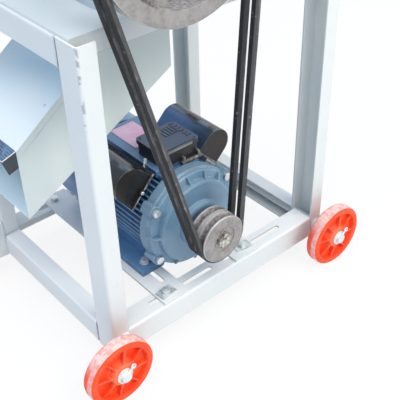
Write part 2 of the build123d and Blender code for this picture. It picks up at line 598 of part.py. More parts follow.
# Chute under the deck: a sheet duct, open at the top and at the mouth.
low_mouth = RAIL_TOP + LIP_UP
top_mouth = RAIL_TOP + MOUTH_TOP_UP
low_end = low_mouth + (OUTLET_END - MOUTH_X) * LOW_SLOPE
top_end = top_mouth + (OUTLET_X - MOUTH_X) * TOP_SLOPE
s = CHUTE_SHEET
s_low = s * math.hypot(1, LOW_SLOPE)
s_top = s * math.hypot(1, TOP_SLOPE)
outer = [
    (MOUTH_X, low_mouth), (OUTLET_END, low_end), (OUTLET_END, FRAME_TOP),
    (OUTLET_X, FRAME_TOP), (OUTLET_X, top_end), (MOUTH_X, top_mouth),
]
inner = [
    (MOUTH_X - 5, low_mouth - 5 * LOW_SLOPE + s_low), (OUTLET_END - s, low_end - s * LOW_SLOPE + s_low),
    (OUTLET_END - s, FRAME_TOP + 5), (OUTLET_X + s, FRAME_TOP + 5),
    (OUTLET_X + s, top_end + s * TOP_SLOPE - s_top), (MOUTH_X - 5, top_mouth - 5 * TOP_SLOPE - s_top),
]
chute = outline_xz(outer, CHUTE_FRONT, CHUTE_BACK) - outline_xz(inner, CHUTE_FRONT + s, CHUTE_BACK - s)
hem = [
    (MOUTH_X, top_mouth), (OUTLET_X, top_end), (OUTLET_X, top_end - HEM_W), (MOUTH_X, top_mouth - HEM_W),
]
chute += outline_xz(hem, CHUTE_FRONT - HEM_T, CHUTE_FRONT)
chute += outline_xz(hem, CHUTE_BACK, CHUTE_BACK + HEM_T)

# Visor over the chute's mouth: a plate that falls outwards, with a square-cut cheek at each end.
lip_x = MOUTH_X - VISOR_OUT
lip_z = top_mouth - VISOR_OUT * VISOR_SLOPE
steep = math.hypot(1, VISOR_SLOPE)
s_visor = s * steep
heel_x = lip_x + VISOR_DEEP * VISOR_SLOPE / steep
heel_z = lip_z - VISOR_DEEP / steep
visor = outline_xz([
    (MOUTH_X, top_mouth), (MOUTH_X, top_mouth - s_visor), (lip_x, lip_z - s_visor), (lip_x, lip_z),
], CHUTE_FRONT, CHUTE_BACK)
cheek = [
    (MOUTH_X, top_mouth - s / 2), (MOUTH_X, heel_z + (MOUTH_X - heel_x) * VISOR_SLOPE),
    (heel_x, heel_z), (lip_x, lip_z - s / 2),
]
visor += outline_xz(cheek, CHUTE_FRONT, CHUTE_FRONT + s)
visor += outline_xz(cheek, CHUTE_BACK - s, CHUTE_BACK)
parts["chute"] = chute + visor

# Feed throat, its slide gate and the hopper.
FEED_X = DRIVEN_X
FEED_Y = (CASE_FRONT + CASE_BACK) / 2
GATE_Z = DRIVEN_Z + FLANGE_R + 14


def tube(half, wall, z0, z1):
    """A square duct around the feed's axis."""
    ring = Rectangle(2 * half, 2 * half) - Rectangle(2 * (half - wall), 2 * (half - wall))
    return extrude(Pos(FEED_X, FEED_Y, z0) * ring, amount=z1 - z0)


throat = tube(THROAT, 2, DRIVEN_Z + CASING_R - 12, GATE_Z)
throat -= rod_y(DRIVEN_X, DRIVEN_Z, CASE_FRONT - 5, CASE_BACK + 5, CASING_R)
flange = Rectangle(2 * THROAT + 24, 2 * THROAT + 24) - Rectangle(2 * THROAT - 4, 2 * THROAT - 4)
throat += extrude(Pos(FEED_X, FEED_Y, GATE_Z - 3) * flange, amount=3)
parts["hopper_throat"] = throat
HOP_LOW = GATE_Z + 2
gate = block(FEED_X - THROAT - 10, FEED_X + THROAT + 64, FEED_Y - THROAT - 6, FEED_Y + THROAT + 6, GATE_Z, HOP_LOW)
gate -= block(FEED_X - THROAT + 2, FEED_X + THROAT - 2, FEED_Y - THROAT + 2, FEED_Y + THROAT - 2, GATE_Z - 1, HOP_LOW + 1)
gate += block(FEED_X + THROAT + 62, FEED_X + THROAT + 64, FEED_Y - 20, FEED_Y + 20, GATE_Z - 16, HOP_LOW)
parts["slide_gate"] = gate
HOP_BASE = HOP_LOW + 14
HOP_TOP = HOP_BASE + HOPPER_H


def funnel(grow, extra):
    """The hopper's outside, or its inside when grow is less than nothing."""
    rise = (HOPPER_HALF - THROAT) / HOPPER_H * extra
    low = THROAT + grow - rise
    high = HOPPER_HALF + grow + rise
    bottom = Pos(FEED_X, FEED_Y, HOP_BASE - extra) * Rectangle(2 * low, 2 * low)
    top = Pos(FEED_X, FEED_Y, HOP_TOP + extra) * Rectangle(2 * high, 2 * high)
    return loft([bottom, top])


hopper = funnel(0, 0) - funnel(-2, 1)
hopper += tube(THROAT, 2, HOP_LOW, HOP_BASE)
lower = Rectangle(2 * THROAT + 24, 2 * THROAT + 24) - Rectangle(2 * THROAT - 4, 2 * THROAT - 4)
hopper += extrude(Pos(FEED_X, FEED_Y, HOP_LOW) * lower, amount=3)
hopper += tube(HOPPER_HALF + RIM, RIM + 2, HOP_TOP - 2, HOP_TOP)
hopper += tube(HOPPER_HALF + RIM, 2, HOP_TOP - 14, HOP_TOP)
parts["hopper"] = hopper

whole = Compound(children=[Part() + shape for shape in parts.values()])
box = whole.bounding_box()
shift = Pos(-box.center().X, -box.center().Y, -box.min.Z)

os.makedirs("parts", exist_ok=True)
for node, shape in parts.items():
    export_step(shift * shape, "parts/" + node + ".step")
print("box", box.min, box.max)
print("origin moved by", -box.center().X, -box.center().Y, -box.min.Z)
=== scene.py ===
"""Electric grain mill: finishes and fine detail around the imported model. All lengths are in metres."""
import json
import logging
import math
from dataclasses import dataclass
from enum import Enum
from functools import cached_property

import bmesh
import bpy
import numpy as np
from mathutils import Matrix, Vector


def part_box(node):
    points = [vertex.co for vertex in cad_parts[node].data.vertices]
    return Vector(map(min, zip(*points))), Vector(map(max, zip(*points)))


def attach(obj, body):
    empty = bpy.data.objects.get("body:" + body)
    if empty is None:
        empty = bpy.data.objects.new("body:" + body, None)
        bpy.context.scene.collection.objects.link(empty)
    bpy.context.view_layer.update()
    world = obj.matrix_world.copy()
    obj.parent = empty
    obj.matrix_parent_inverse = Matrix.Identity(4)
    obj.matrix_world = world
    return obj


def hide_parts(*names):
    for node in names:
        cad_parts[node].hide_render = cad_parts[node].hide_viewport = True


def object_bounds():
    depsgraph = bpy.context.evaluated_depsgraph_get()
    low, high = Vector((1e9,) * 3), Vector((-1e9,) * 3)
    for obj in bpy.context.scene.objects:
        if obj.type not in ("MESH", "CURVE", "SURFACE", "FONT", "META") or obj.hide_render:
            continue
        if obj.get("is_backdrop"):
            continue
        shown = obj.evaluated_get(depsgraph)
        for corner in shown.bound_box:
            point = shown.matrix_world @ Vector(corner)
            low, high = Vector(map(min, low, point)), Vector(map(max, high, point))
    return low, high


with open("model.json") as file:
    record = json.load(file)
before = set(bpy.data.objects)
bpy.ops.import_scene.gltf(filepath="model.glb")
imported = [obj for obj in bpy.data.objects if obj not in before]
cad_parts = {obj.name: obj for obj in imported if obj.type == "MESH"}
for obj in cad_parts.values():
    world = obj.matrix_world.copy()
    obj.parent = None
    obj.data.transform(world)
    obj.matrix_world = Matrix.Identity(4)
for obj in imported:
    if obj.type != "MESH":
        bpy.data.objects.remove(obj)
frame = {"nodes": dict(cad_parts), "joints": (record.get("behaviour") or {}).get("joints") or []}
CAD_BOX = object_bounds()

LOG = logging.getLogger("grain_mill")
MM = 0.001
FIXED_BODY = "frame"
Colour = tuple[float, float, float]
Point = tuple[float, float, float]
Profile = list[tuple[float, float]] | np.ndarray
GREY = (200.0, 200.0, 200.0)
UPWARD = (0.0, 0.0, 1.0)
BACKWARD = (0.0, 1.0, 0.0)
ORIGIN = (0.0, 0.0, 0.0)
QUARTER_TURNS = (45.0, 135.0, 225.0, 315.0)
SEAM_CREASE = 60.0
# Top and Top Amount give a painted top light; Dirt and Dirt Amount give dirt and, where Dirt is darker than
# the base, painted shade in hollows.
WORKED_COLOURS = ("Base", "Tint", "Edge", "Dirt", "Top")
WORKED_AMOUNTS = (
    "Top Amount", "Mottle", "Mottle Scale", "Edge Amount", "Edge Width", "Dirt Amount", "Grain",
    "Grain Scale", "Specks", "Roughness",
)


class Slot(Enum):
    """The record's material slots, one named by each finish."""

    FRAME = "frame_paint"
    SHEET = "sheet_paint"
    MOTOR = "motor_paint"
    PLASTIC = "black_plastic"
    WHEEL = "wheel_red"
    BELT = "belt_rubber"
    ZINC = "zinc"
    MACHINED = "machined"
    PULLEY = "pulley_iron"
    HOUSING = "housing_iron"
    PLATE = "plate_metal"


class Along(Enum):
    """The line that a turned shape is turned about, given by two cross directions and its own."""

    X = ((0.0, 1.0, 0.0), (0.0, 0.0, 1.0), (1.0, 0.0, 0.0))
    Y = ((0.0, 0.0, 1.0), (1.0, 0.0, 0.0), (0.0, 1.0, 0.0))
    Z = ((1.0, 0.0, 0.0), (0.0, 1.0, 0.0), (0.0, 0.0, 1.0))

    def basis(self) -> np.ndarray:
        """The two cross directions and the line's direction, as rows."""
        return np.array(self.value, float)


def linear(rgb: Colour) -> tuple[float, float, float, float]:
    """Changes a colour written in 0 to 255 steps to the linear light values that shaders take.

    Args:
        rgb: red, green and blue in display steps.

    Returns:
        Linear red, green and blue, with alpha 1.
    """
    steps = np.array(rgb, float) / 255.0
    light = np.where(steps <= 0.04045, steps / 12.92, ((steps + 0.055) / 1.055) ** 2.4)
    return (*light.tolist(), 1.0)


@dataclass
class Skin:
    """One surface: its points in rows of three, and its four-cornered faces."""

    points: np.ndarray
    faces: np.ndarray

    def laid(self, turn: np.ndarray, offset: Point) -> "Skin":
        """The same surface with its rows turned by a matrix and then moved."""
        return Skin(self.points @ turn + np.array(offset, float), self.faces)


def woven(grid: np.ndarray, wrap_u: bool = False, wrap_v: bool = False) -> Skin:
    """Joins a grid of points p(u, v) into four-cornered faces.

    Args:
        grid: points, shaped (rows, columns, 3).
        wrap_u: the last row meets the first.
        wrap_v: the last column meets the first.

    Returns:
        The surface through the points.
    """
    rows, columns = grid.shape[:2]
    row, column = np.arange(rows if wrap_u else rows - 1), np.arange(columns if wrap_v else columns - 1)
    u, v = np.meshgrid(row, column, indexing="ij")
    u2, v2 = (u + 1) % rows, (v + 1) % columns
    around = [u * columns + v, u2 * columns + v, u2 * columns + v2, u * columns + v2]
    return Skin(grid.reshape(-1, 3), np.stack(around, axis=-1).reshape(-1, 4))


def joined(skins: list[Skin]) -> Skin:
    """Puts several surfaces in one, with their faces renumbered.

    Args:
        skins: the surfaces.

    Returns:
        One surface that holds them all.
    """
    starts = np.cumsum([0] + [len(s.points) for s in skins[:-1]])
    faces = [s.faces + start for s, start in zip(skins, starts)]
    return Skin(np.concatenate([s.points for s in skins]), np.concatenate(faces))


def turned(profile: Profile, centre: Point, along: Along, steps: int = 48) -> Skin:
    """Turns a profile about a line.

    The surface is p(u, a) = centre + h(u) w + r(u) (cos a e1 + sin a e2), where the profile gives the
    pairs r(u), h(u).

    Args:
        profile: pairs of radius and distance along the line.
        centre: the point that the distances start from.
        along: the line's direction.
        steps: facets round the line.

    Returns:
        The turned surface.
    """
    e1, e2, w = along.basis()
    radius, height = np.array(profile, float).T
    angle = np.linspace(0.0, 2.0 * np.pi, steps, endpoint=False)
    ring = np.cos(angle)[:, None] * e1 + np.sin(angle)[:, None] * e2
    grid = radius[:, None, None] * ring + height[:, None, None] * w + np.array(centre, float)
    return woven(grid, wrap_v=True)


def swept(path: np.ndarray, radius: np.ndarray | float, flat: Point, sides: int = 12, closed: bool = False,
          squash: float = 1.0) -> Skin:
    """Carries a round section along a path.

    The surface is p(s, a) = path(s) + r(s) (cos a n(s) + k sin a b), where b is the fixed flat
    direction made square to the path and n(s) is square to both.

    Args:
        path: points, shaped (count, 3).
        radius: one radius, or one for each point.
        flat: the direction that stays nearly square to the path.
        sides: facets round the section.
        closed: the path's end meets its start.
        squash: height of the section along the flat direction, as a share of its width.

    Returns:
        The tube, with its ends drawn in to a point when it is open.
    """
    radii = np.broadcast_to(np.asarray(radius, float), (len(path),)).copy()
    if closed:
        run = np.roll(path, -1, axis=0) - np.roll(path, 1, axis=0)
    else:
        run = np.gradient(path, axis=0)
        path = np.concatenate([path[:1], path, path[-1:]])
        run = np.concatenate([run[:1], run, run[-1:]])
        radii = np.concatenate([[0.0], radii, [0.0]])
    run = run / np.linalg.norm(run, axis=1, keepdims=True)
    side = np.cross(run, np.array(flat, float))
    side = side / np.linalg.norm(side, axis=1, keepdims=True)
    upward = np.cross(side, run)
    angle = np.linspace(0.0, 2.0 * np.pi, sides, endpoint=False)[None, :, None]
    ring = np.cos(angle) * side[:, None] + squash * np.sin(angle) * upward[:, None]
    return woven(path[:, None] + radii[:, None, None] * ring, wrap_u=closed, wrap_v=True)


def weld_bead(a: Point, b: Point, radius: float, flat: Point) -> Skin:
    """A weld run with overlapping ripples.

    The tube's radius is r (1 - 0.16 |sin(pi s / pitch)|) times a fourth-root taper at both ends.

    Args:
        a: where the run starts.
        b: where it ends.
        radius: half its width.
        flat: the direction that it stands out along.

    Returns:
        The bead.
    """
    start, run = np.array(a, float), np.array(b, float) - np.array(a, float)
    length = float(np.linalg.norm(run))
    share = np.linspace(0.0, 1.0, max(10, int(length / (0.45 * radius))))
    taper = np.clip(4.0 * share * (1.0 - share), 0.02, 1.0) ** 0.25
    ripple = 1.0 - 0.16 * np.abs(np.sin(np.pi * share * length / (1.7 * radius)))
    return swept(start + run * share[:, None], radius * taper * ripple, flat, sides=10, squash=0.8)


def hex_head(centre: Point, along: Along, across: float, height: float, turn: float = 0.0,
             sign: float = 1.0) -> Skin:
    """A hexagon head with its corners chamfered.

    Its rim at angle a is r(a) = f / cos(a mod 60 - 30), where f is half the width across flats. The top
    edge drops by tan 30 of what a corner stands out past the flats.

    Args:
        centre: middle of the face that the head seats on.
        along: the bolt's line.
        across: width across flats.
        height: the head's height.
        turn: how far the flats are turned, in radians.
        sign: 1 for a head that stands up along the line, -1 for one that points back.

    Returns:
        The head, closed below.
    """
    e1, e2, w = along.basis()
    flat = across / 2.0
    angle = np.linspace(0.0, 2.0 * np.pi, 60, endpoint=False)
    rim = flat / np.cos((angle % (np.pi / 3.0)) - np.pi / 6.0)
    zero = np.zeros_like(angle)
    top = zero + 0.94 * flat
    radii = np.stack([zero, top, rim, rim, zero])
    heights = np.stack([zero + height, zero + height, height - np.tan(np.pi / 6.0) * (rim - top), zero, zero])
    ring = np.cos(angle + turn)[:, None] * e1 + np.sin(angle + turn)[:, None] * e2
    grid = radii[:, :, None] * ring + heights[:, :, None] * w * sign + np.array(centre, float)
    return woven(grid, wrap_v=True)


def washer(centre: Point, along: Along, outer: float, inner: float, thick: float) -> Skin:
    """A flat ring with rounded edges.

    Args:
        centre: the middle of the face that it seats on.
        along: its hole's line.
        outer: its outer radius.
        inner: its hole's radius.
        thick: its thickness, along the line from the centre.

    Returns:
        The ring.
    """
    edge = thick * 0.28
    profile = [
        (inner, 0.0), (inner, thick), (outer - edge, thick), (outer, thick - edge), (outer, edge),
        (outer - edge, 0.0), (inner, 0.0),
    ]
    return turned(profile, centre, along, 40)


def dome(centre: Point, along: Along, radius: float, sign: float = 1.0) -> Skin:
    """A round screw or rivet head on a short rim.

    Its profile is r(t) = R sin t and h(t) = 0.55 R cos t over a quarter turn.

    Args:
        centre: the middle of its widest part.
        along: its line.
        radius: its radius.
        sign: 1 for a head that stands up along the line, -1 for one that points back.

    Returns:
        The head.
    """
    share = np.linspace(0.0, np.pi / 2.0, 8)
    cap = np.column_stack([radius * np.sin(share), sign * radius * 0.55 * np.cos(share)])
    low = -sign * 0.3 * radius
    return turned(np.vstack([cap, (radius, low), (0.0, low)]), centre, along, 24)


def prism(ring: np.ndarray, across: list[int], along: int, ends: tuple[float, float]) -> Skin:
    """A bar with closed ends: an outline carried between two places along an axis.

    The surface is p(u, v) = middle + s(u) (ring(v) - middle), where s is 0, 1, 1, 0 so that each end
    closes on the outline's middle.

    Args:
        ring: the outline's corners, shaped (count, 2).
        across: the two axes that the outline lies in.
        along: the axis that it is carried along.
        ends: where the bar starts and ends on that axis.

    Returns:
        The bar.
    """
    middle = ring.mean(axis=0)
    grid = np.empty((4, len(ring), 3))
    grid[:, :, across] = middle + (ring - middle) * np.array([0.0, 1.0, 1.0, 0.0])[:, None, None]
    grid[:, :, along] = np.repeat(ends, 2)[:, None]
    return woven(grid, wrap_v=True)


def corners(lo: Vector, hi: Vector, inset_x: float, inset_y: float) -> list[tuple[float, float]]:
    """Four places set in from a box's upright edges: the left two first, each from front to back."""
    return [(x, y) for x in (lo.x + inset_x, hi.x - inset_x) for y in (lo.y + inset_y, hi.y - inset_y)]


def round_places(axis: Vector, radius: float, y: float,
                 turns: tuple[float, ...]) -> list[tuple[float, Point]]:
    """Places on a circle about a line along Y.

    Args:
        axis: a point on the line.
        radius: the circle's radius.
        y: where the circle lies along the line.
        turns: the places' angles from straight up, in degrees.

    Returns:
        For each place its angle in radians and its point.
    """
    angles = [math.radians(turn) for turn in turns]
    return [(a, (axis.x + radius * math.sin(a), y, axis.z + radius * math.cos(a))) for a in angles]


def packed_points(node: str) -> np.ndarray:
    """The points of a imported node's mesh, in rows of three.

    Args:
        node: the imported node's name.

    Returns:
        Its points, shaped (count, 3).
    """
    mesh = frame["nodes"][node].data
    points = np.zeros(len(mesh.vertices) * 3, np.float32)
    mesh.vertices.foreach_get("co", points)
    return points.reshape(-1, 3).astype(float)


def joint_point(name: str) -> Vector:
    """A joint's point at rest."""
    return Vector(next(j for j in frame["joints"] if j["name"] == name)["pos_m"])


def in_scene(name: str, data: bpy.types.ID) -> bpy.types.Object:
    """A new object of the scene with the given data.

    Args:
        name: the object's name.
        data: its mesh, light or camera.

    Returns:
        The object.
    """
    made = bpy.data.objects.new(name, data)
    bpy.context.scene.collection.objects.link(made)
    return made


class Value:
    """What one socket of a node tree gives. Sums with it add Math nodes to the tree."""

    def __init__(self, tree: bpy.types.NodeTree, socket: bpy.types.NodeSocket) -> None:
        """Holds the tree and the socket."""
        self.tree = tree
        self.socket = socket

    def beside(self, name: str) -> "Value":
        """Another output of the same node."""
        return Value(self.tree, self.socket.node.outputs[name])

    def maths(self, operation: str, *others: "Value | float") -> "Value":
        """The result of a Math node that takes this value and the others."""
        return Graph(self.tree).add("Math", dict(enumerate((self, *others))), operation=operation)

    def held(self) -> "Value":
        """The same value, which the node that gives it now keeps between 0 and 1."""
        self.socket.node.use_clamp = True
        return self

    def ramp(self, low: float, high: float) -> "Value":
        """Stretches the value so that low becomes 0 and high becomes 1, with soft ends."""
        inputs = {"Value": self, "From Min": low, "From Max": high}
        return Graph(self.tree).add("MapRange", inputs, "Result", interpolation_type="SMOOTHSTEP")

    def __add__(self, other: "Value | float") -> "Value":
        """The sum of both."""
        return self.maths("ADD", other)

    def __sub__(self, other: "Value | float") -> "Value":
        """This value less the other."""
        return self.maths("SUBTRACT", other)

    def __rsub__(self, other: float) -> "Value":
        """A number less this value."""
        return Graph(self.tree).add("Math", {0: other, 1: self}, operation="SUBTRACT")

    def __mul__(self, other: "Value | float") -> "Value":
        """The product of both."""
        return self.maths("MULTIPLY", other)

    def __truediv__(self, other: "Value | float") -> "Value":
        """This value divided by the other."""
        return self.maths("DIVIDE", other)

    def __abs__(self) -> "Value":
        """The value without its sign."""
        return self.maths("ABSOLUTE")


class Graph:
    """A node tree that is being filled."""

    def __init__(self, tree: bpy.types.NodeTree) -> None:
        """Holds the tree."""
        self.tree = tree

    def feed(self, socket: bpy.types.NodeSocket, value: object) -> None:
        """Joins a value to a socket, or writes what the socket holds; colours come in display steps.

        Args:
            socket: where the value goes in.
            value: what another node gives, or a number, a vector or a colour.
        """
        if isinstance(value, Value):
            self.tree.links.new(value.socket, socket)
        else:
            socket.default_value = linear(value) if socket.type == "RGBA" else value

    def add(self, kind: str, inputs: dict[int | str, object] | None = None, out: int | str = 0,
            **settings: object) -> Value:
        """Adds a node.

        Args:
            kind: the node's type, without its first word.
            inputs: what goes in, by the sockets' names or numbers.
            out: the output that is wanted.
            settings: the node's options.

        Returns:
            The value of that output.
        """
        made = self.tree.nodes.new("ShaderNode" + kind)
        for key, value in settings.items():
            setattr(made, key, value)
        for key, value in (inputs or {}).items():
            self.feed(made.inputs[key], value)
        return Value(self.tree, made.outputs[out])

    def blend(self, share: Value, first: Value | Colour, second: Value | Colour) -> Value:
        """The mix of two colours by a share."""
        return self.add("Mix", {0: share, 6: first, 7: second}, 2, data_type="RGBA")

    def group_of(self, effect: bpy.types.NodeTree) -> bpy.types.Node | None:
        """The node that holds a shared group, if there is one."""
        return next((n for n in self.tree.nodes if n.type == "GROUP" and n.node_tree == effect), None)

    def seen(self) -> Value:
        """1 for rays from the camera, off a reflection or through a clear body, and 0 for the rest.

        Returns:
            The share.
        """
        path = self.add("LightPath", out="Is Camera Ray")
        either = path.maths("MAXIMUM", path.beside("Is Glossy Ray"))
        return either.maths("MAXIMUM", path.beside("Is Transmission Ray"))


class Effect(Graph):
    """A shader node group that several finishes share, with the tone that it has mixed so far."""

    def __init__(self, name: str, inputs: dict[str, float | Colour | Vector]) -> None:
        """Opens a group.

        Args:
            name: the group's name.
            inputs: each input's name and its first value; a colour is written in display steps.
        """
        super().__init__(bpy.data.node_groups.new(name, "ShaderNodeTree"))
        kinds = {tuple: "Color", Vector: "Vector", float: "Float"}
        for key, value in inputs.items():
            kind = "NodeSocket" + kinds[type(value)]
            made = self.tree.interface.new_socket(name=key, in_out="INPUT", socket_type=kind)
            made.default_value = linear(value) if isinstance(value, tuple) else value
        inside = self.tree.nodes.new("NodeGroupInput")
        self.given = {key: Value(self.tree, inside.outputs[key]) for key in inputs}
        self.tone = self.given.get("Tone")

    @cached_property
    def at(self) -> Value:
        """The point in the piece's own frame."""
        return self.add("TexCoord", out="Object")

    @cached_property
    def normal(self) -> Value:
        """The surface's own normal."""
        return self.add("NewGeometry", out="Normal")

    @cached_property
    def spot(self) -> list[Value]:
        """The point's x, y and z."""
        return self.parts(self.at)

    @cached_property
    def facing(self) -> list[Value]:
        """The normal's x, y and z."""
        return self.parts(self.normal)

    def parts(self, vector: Value) -> list[Value]:
        """A vector's x, y and z."""
        made = self.add("SeparateXYZ", {0: vector})
        return [made.beside(axis) for axis in "XYZ"]

    def noise(self, scale: Value | float, detail: float, at: Value | None = None) -> Value:
        """A noise texture's value at the point, or at the coordinates given."""
        return self.add("TexNoise", {"Vector": at or self.at, "Scale": scale, "Detail": detail}, "Fac")

    def paint(self, share: Value, colour: Colour | Value) -> None:
        """Lays a colour over the tone so far."""
        self.tone = self.blend(share, self.tone, colour)

    def closed(self, **values: Value) -> bpy.types.NodeTree:
        """Sends values out under their names and gives the finished group.

        Args:
            values: what goes out, by the outputs' names.

        Returns:
            The group.
        """
        kinds = {"VALUE": "Float", "RGBA": "Color", "VECTOR": "Vector"}
        for key, value in values.items():
            kind = "NodeSocket" + kinds[value.socket.type]
            self.tree.interface.new_socket(name=key, in_out="OUTPUT", socket_type=kind)
        out = self.tree.nodes.new("NodeGroupOutput")
        for key, value in values.items():
            self.feed(out.inputs[key], value)
        return self.tree


def surface_effect() -> bpy.types.NodeTree:
    """Colour, roughness and height of a worked surface: mottled tone, painted top light, pale edges, dirt and
    painted shade in hollows, and fine grain.

    Tone = base, moved towards Tint by large noise and towards Top on faces that look up, a painted top light.
    Pale edges are where the rounded normal of the Bevel node leaves the flat one on outward edges, broken up
    by noise: rubbed wear, and with a bright Edge colour also a painted highlight. Where ambient light is held
    off the tone moves to the Dirt colour: painted shade in hollows and corners where that colour is darker
    than the base, and dust where it is paler.

    Returns:
        The shared node group.
    """
    inputs = dict.fromkeys(WORKED_COLOURS, GREY) | dict.fromkeys(WORKED_AMOUNTS, 0.5)
    made = Effect("worked_surface", inputs)
    given = made.given
    broad = made.noise(given["Mottle Scale"], 5.0).ramp(0.35, 0.68)
    made.tone = made.blend(broad * given["Mottle"], given["Base"], given["Tint"])
    # Painted top light: faces that look up move towards the Top colour.
    made.paint((made.facing[2].ramp(0.3, 0.95) * given["Top Amount"]).held(), given["Top"])
    bevel = made.add("Bevel", {"Radius": given["Edge Width"]}, samples=4)
    shade = made.add("AmbientOcclusion", {"Distance": 0.02}, "AO", samples=4)
    outward = shade.ramp(0.6, 0.8)
    even = made.add("VectorMath", {0: bevel, 1: made.normal}, "Value", operation="DOT_PRODUCT")
    patchy = made.noise(60.0, 3.0).ramp(0.42, 0.6)
    # Pale outward edges: rubbed wear, which with a bright Edge colour is also a painted highlight.
    edge_wear_and_highlight = (1.0 - even).ramp(0.02, 0.2) * outward * patchy
    made.paint((edge_wear_and_highlight * given["Edge Amount"]).held(), given["Edge"])
    # Where ambient occlusion is dark the tone moves to Dirt: painted shade in hollows where Dirt is darker
    # than the base, dust where it is paler.
    hollow_dirt_and_shade = (1.0 - shade).ramp(0.25, 0.95) * made.noise(35.0, 4.0).ramp(0.3, 0.7)
    hollow_dirt_and_shade = (hollow_dirt_and_shade * given["Dirt Amount"]).held()
    made.paint(hollow_dirt_and_shade, given["Dirt"])
    made.paint((made.noise(210.0, 1.0).ramp(0.735, 0.76) * given["Specks"]).held(), given["Dirt"])
    return made.closed(
        Colour=made.tone,
        Roughness=(given["Roughness"] + broad * 0.08 + hollow_dirt_and_shade * 0.3).held(),
        Height=made.noise(given["Grain Scale"], 2.0) * given["Grain"],
        Normal=made.add("Mix", {0: outward, 4: made.normal, 5: bevel}, 1, data_type="VECTOR"),
    )


def turned_effect() -> bpy.types.NodeTree:
    """Fine rings left by a lathe tool.

    The rings' height is a sine of the distance from the line that the piece is turned about, and the
    coordinates that come in already have that line at their middle.

    Returns:
        The shared node group.
    """
    made = Effect("lathe_rings", {"Place": Vector(), "Pitch": 0.0009, "Depth": 0.5})
    given = made.given
    x, y, z = made.parts(given["Place"])
    aside = made.add("CombineXYZ", {"X": x, "Z": z})
    distance = made.add("VectorMath", {0: aside}, "Value", operation="LENGTH")
    wave = ((distance + y * 0.7) / given["Pitch"] * (2.0 * math.pi)).maths("SINE")
    height = wave * made.noise(45.0, 3.0, given["Place"]) * given["Depth"]
    return made.closed(Height=height, Distance=distance)


def pulley_effect() -> bpy.types.NodeTree:
    """Belt polish on a pulley's groove walls and rims, painted paler as a painted highlight, and dark rusty
    pits on its face near the shaft.

    The paler walls, with paler crests near the rim, lie where the surface's normal leaves the pulley's own
    line.
    Pits are where the distance from the line is small and the noise is high.

    Returns:
        The shared node group.
    """
    made = Effect("pulley_polish_and_highlight", {"Tone": GREY, "Distance": 0.0, "Pit Radius": 0.017, "Rim": 0.04})
    given = made.given
    flat = abs(made.facing[1]).ramp(0.955, 0.985)
    aside = 1.0 - flat
    crest = 1.0 - (given["Rim"] - given["Distance"]).ramp(0.0008, 0.0022)
    streaks = made.noise(210.0, 4.0).ramp(0.35, 0.65)
    # Painted highlight: groove walls paler than the iron, and crests near the rim paler still, standing for
    # belt polish.
    made.paint(aside, made.blend(streaks, (142.0, 138.0, 138.0), (192.0, 188.0, 189.0)))
    made.paint(crest * aside * 0.7, (212.0, 209.0, 209.0))
    made.paint(flat * streaks * 0.3, (188.0, 186.0, 186.0))
    near = (given["Pit Radius"] - given["Distance"]).ramp(-0.002, 0.004)
    made.paint(near * made.noise(260.0, 4.0).ramp(0.48, 0.58) * flat, (56.0, 42.0, 32.0))
    return made.closed(Tone=made.tone)


def rubber_effect() -> bpy.types.NodeTree:
    """Wear on a belt: pale rubbed edges, and dusty streaks that run along it.

    The streaks are noise that changes fast across the belt and slowly along it. Edges lie where the
    distance from the belt's middle line comes near its half width.

    Returns:
        The shared node group.
    """
    made = Effect("belt_wear", {"Tone": GREY, "Middle Y": 0.0, "Half": 0.006})
    given = made.given
    stretched = made.add("VectorMath", {0: made.at, 1: (5.0, 800.0, 5.0)}, operation="MULTIPLY")
    made.paint(abs(made.facing[1]).ramp(0.35, 0.75) * 0.8, (80.0, 80.0, 80.0))
    made.paint(made.noise(1.0, 1.5, stretched).ramp(0.5, 0.75) * 0.28, (112.0, 112.0, 116.0))
    edge = (abs(made.spot[1] - given["Middle Y"]) - given["Half"]).ramp(-0.0014, -0.0003)
    made.paint(edge * made.noise(30.0, 4.0).ramp(0.46, 0.64) * 0.5, (140.0, 140.0, 144.0))
    made.paint(made.noise(120.0, 5.0).ramp(0.66, 0.72) * 0.4, (168.0, 168.0, 170.0))
    return made.closed(Tone=made.tone)


def painted_reflection_effect() -> bpy.types.NodeTree:
    """A painted reflection of blue sky on the side of a cover that leans to Towards, and a broken painted
    sheen highlight along its ridge.

    Returns:
        The shared node group.
    """
    inputs = {"Tone": GREY, "Sky": GREY, "Towards": Vector(), "Sheen": 0.5, "Front Y": 0.0}
    made = Effect("cover_painted_reflection", inputs)
    given = made.given
    lean = made.add("VectorMath", {0: made.normal, 1: given["Towards"]}, "Value", operation="DOT_PRODUCT")
    share = (lean + (made.noise(16.0, 3.0) - 0.5) * 0.5).ramp(0.62, 0.9)
    back = (made.spot[1] - given["Front Y"]).ramp(0.01, 0.07)
    # Painted reflection: the sky colour on the leaning side, stronger towards the back.
    made.paint(share * (back * 0.7 + 0.3), given["Sky"])
    broken = made.noise(30.0, 5.0).ramp(0.42, 0.6) * given["Sheen"]
    # Painted sheen highlight along the ridge.
    made.paint(made.facing[2].ramp(0.965, 0.999) * broken, (118.0, 138.0, 164.0))
    return made.closed(Tone=made.tone)


def screen_effect() -> bpy.types.NodeTree:
    """The dark slots of a woven screen: sin(2 pi (x + y / 2) / p) sin(2 pi y / q) above a level.

    Returns:
        The shared node group.
    """
    made = Effect("screen_slots", {"Tone": GREY})
    x, y, _ = made.spot
    pitch_across, pitch_along = 3.8 * MM, 6.8 * MM
    first = ((x + y * 0.5) * (2.0 * math.pi / pitch_across)).maths("SINE")
    second = (y * (2.0 * math.pi / pitch_along)).maths("SINE")
    made.paint((first * second).ramp(0.12, 0.3) * made.noise(160.0, 2.0).ramp(0.3, 0.55), (38.0, 50.0, 74.0))
    return made.closed(Tone=made.tone)


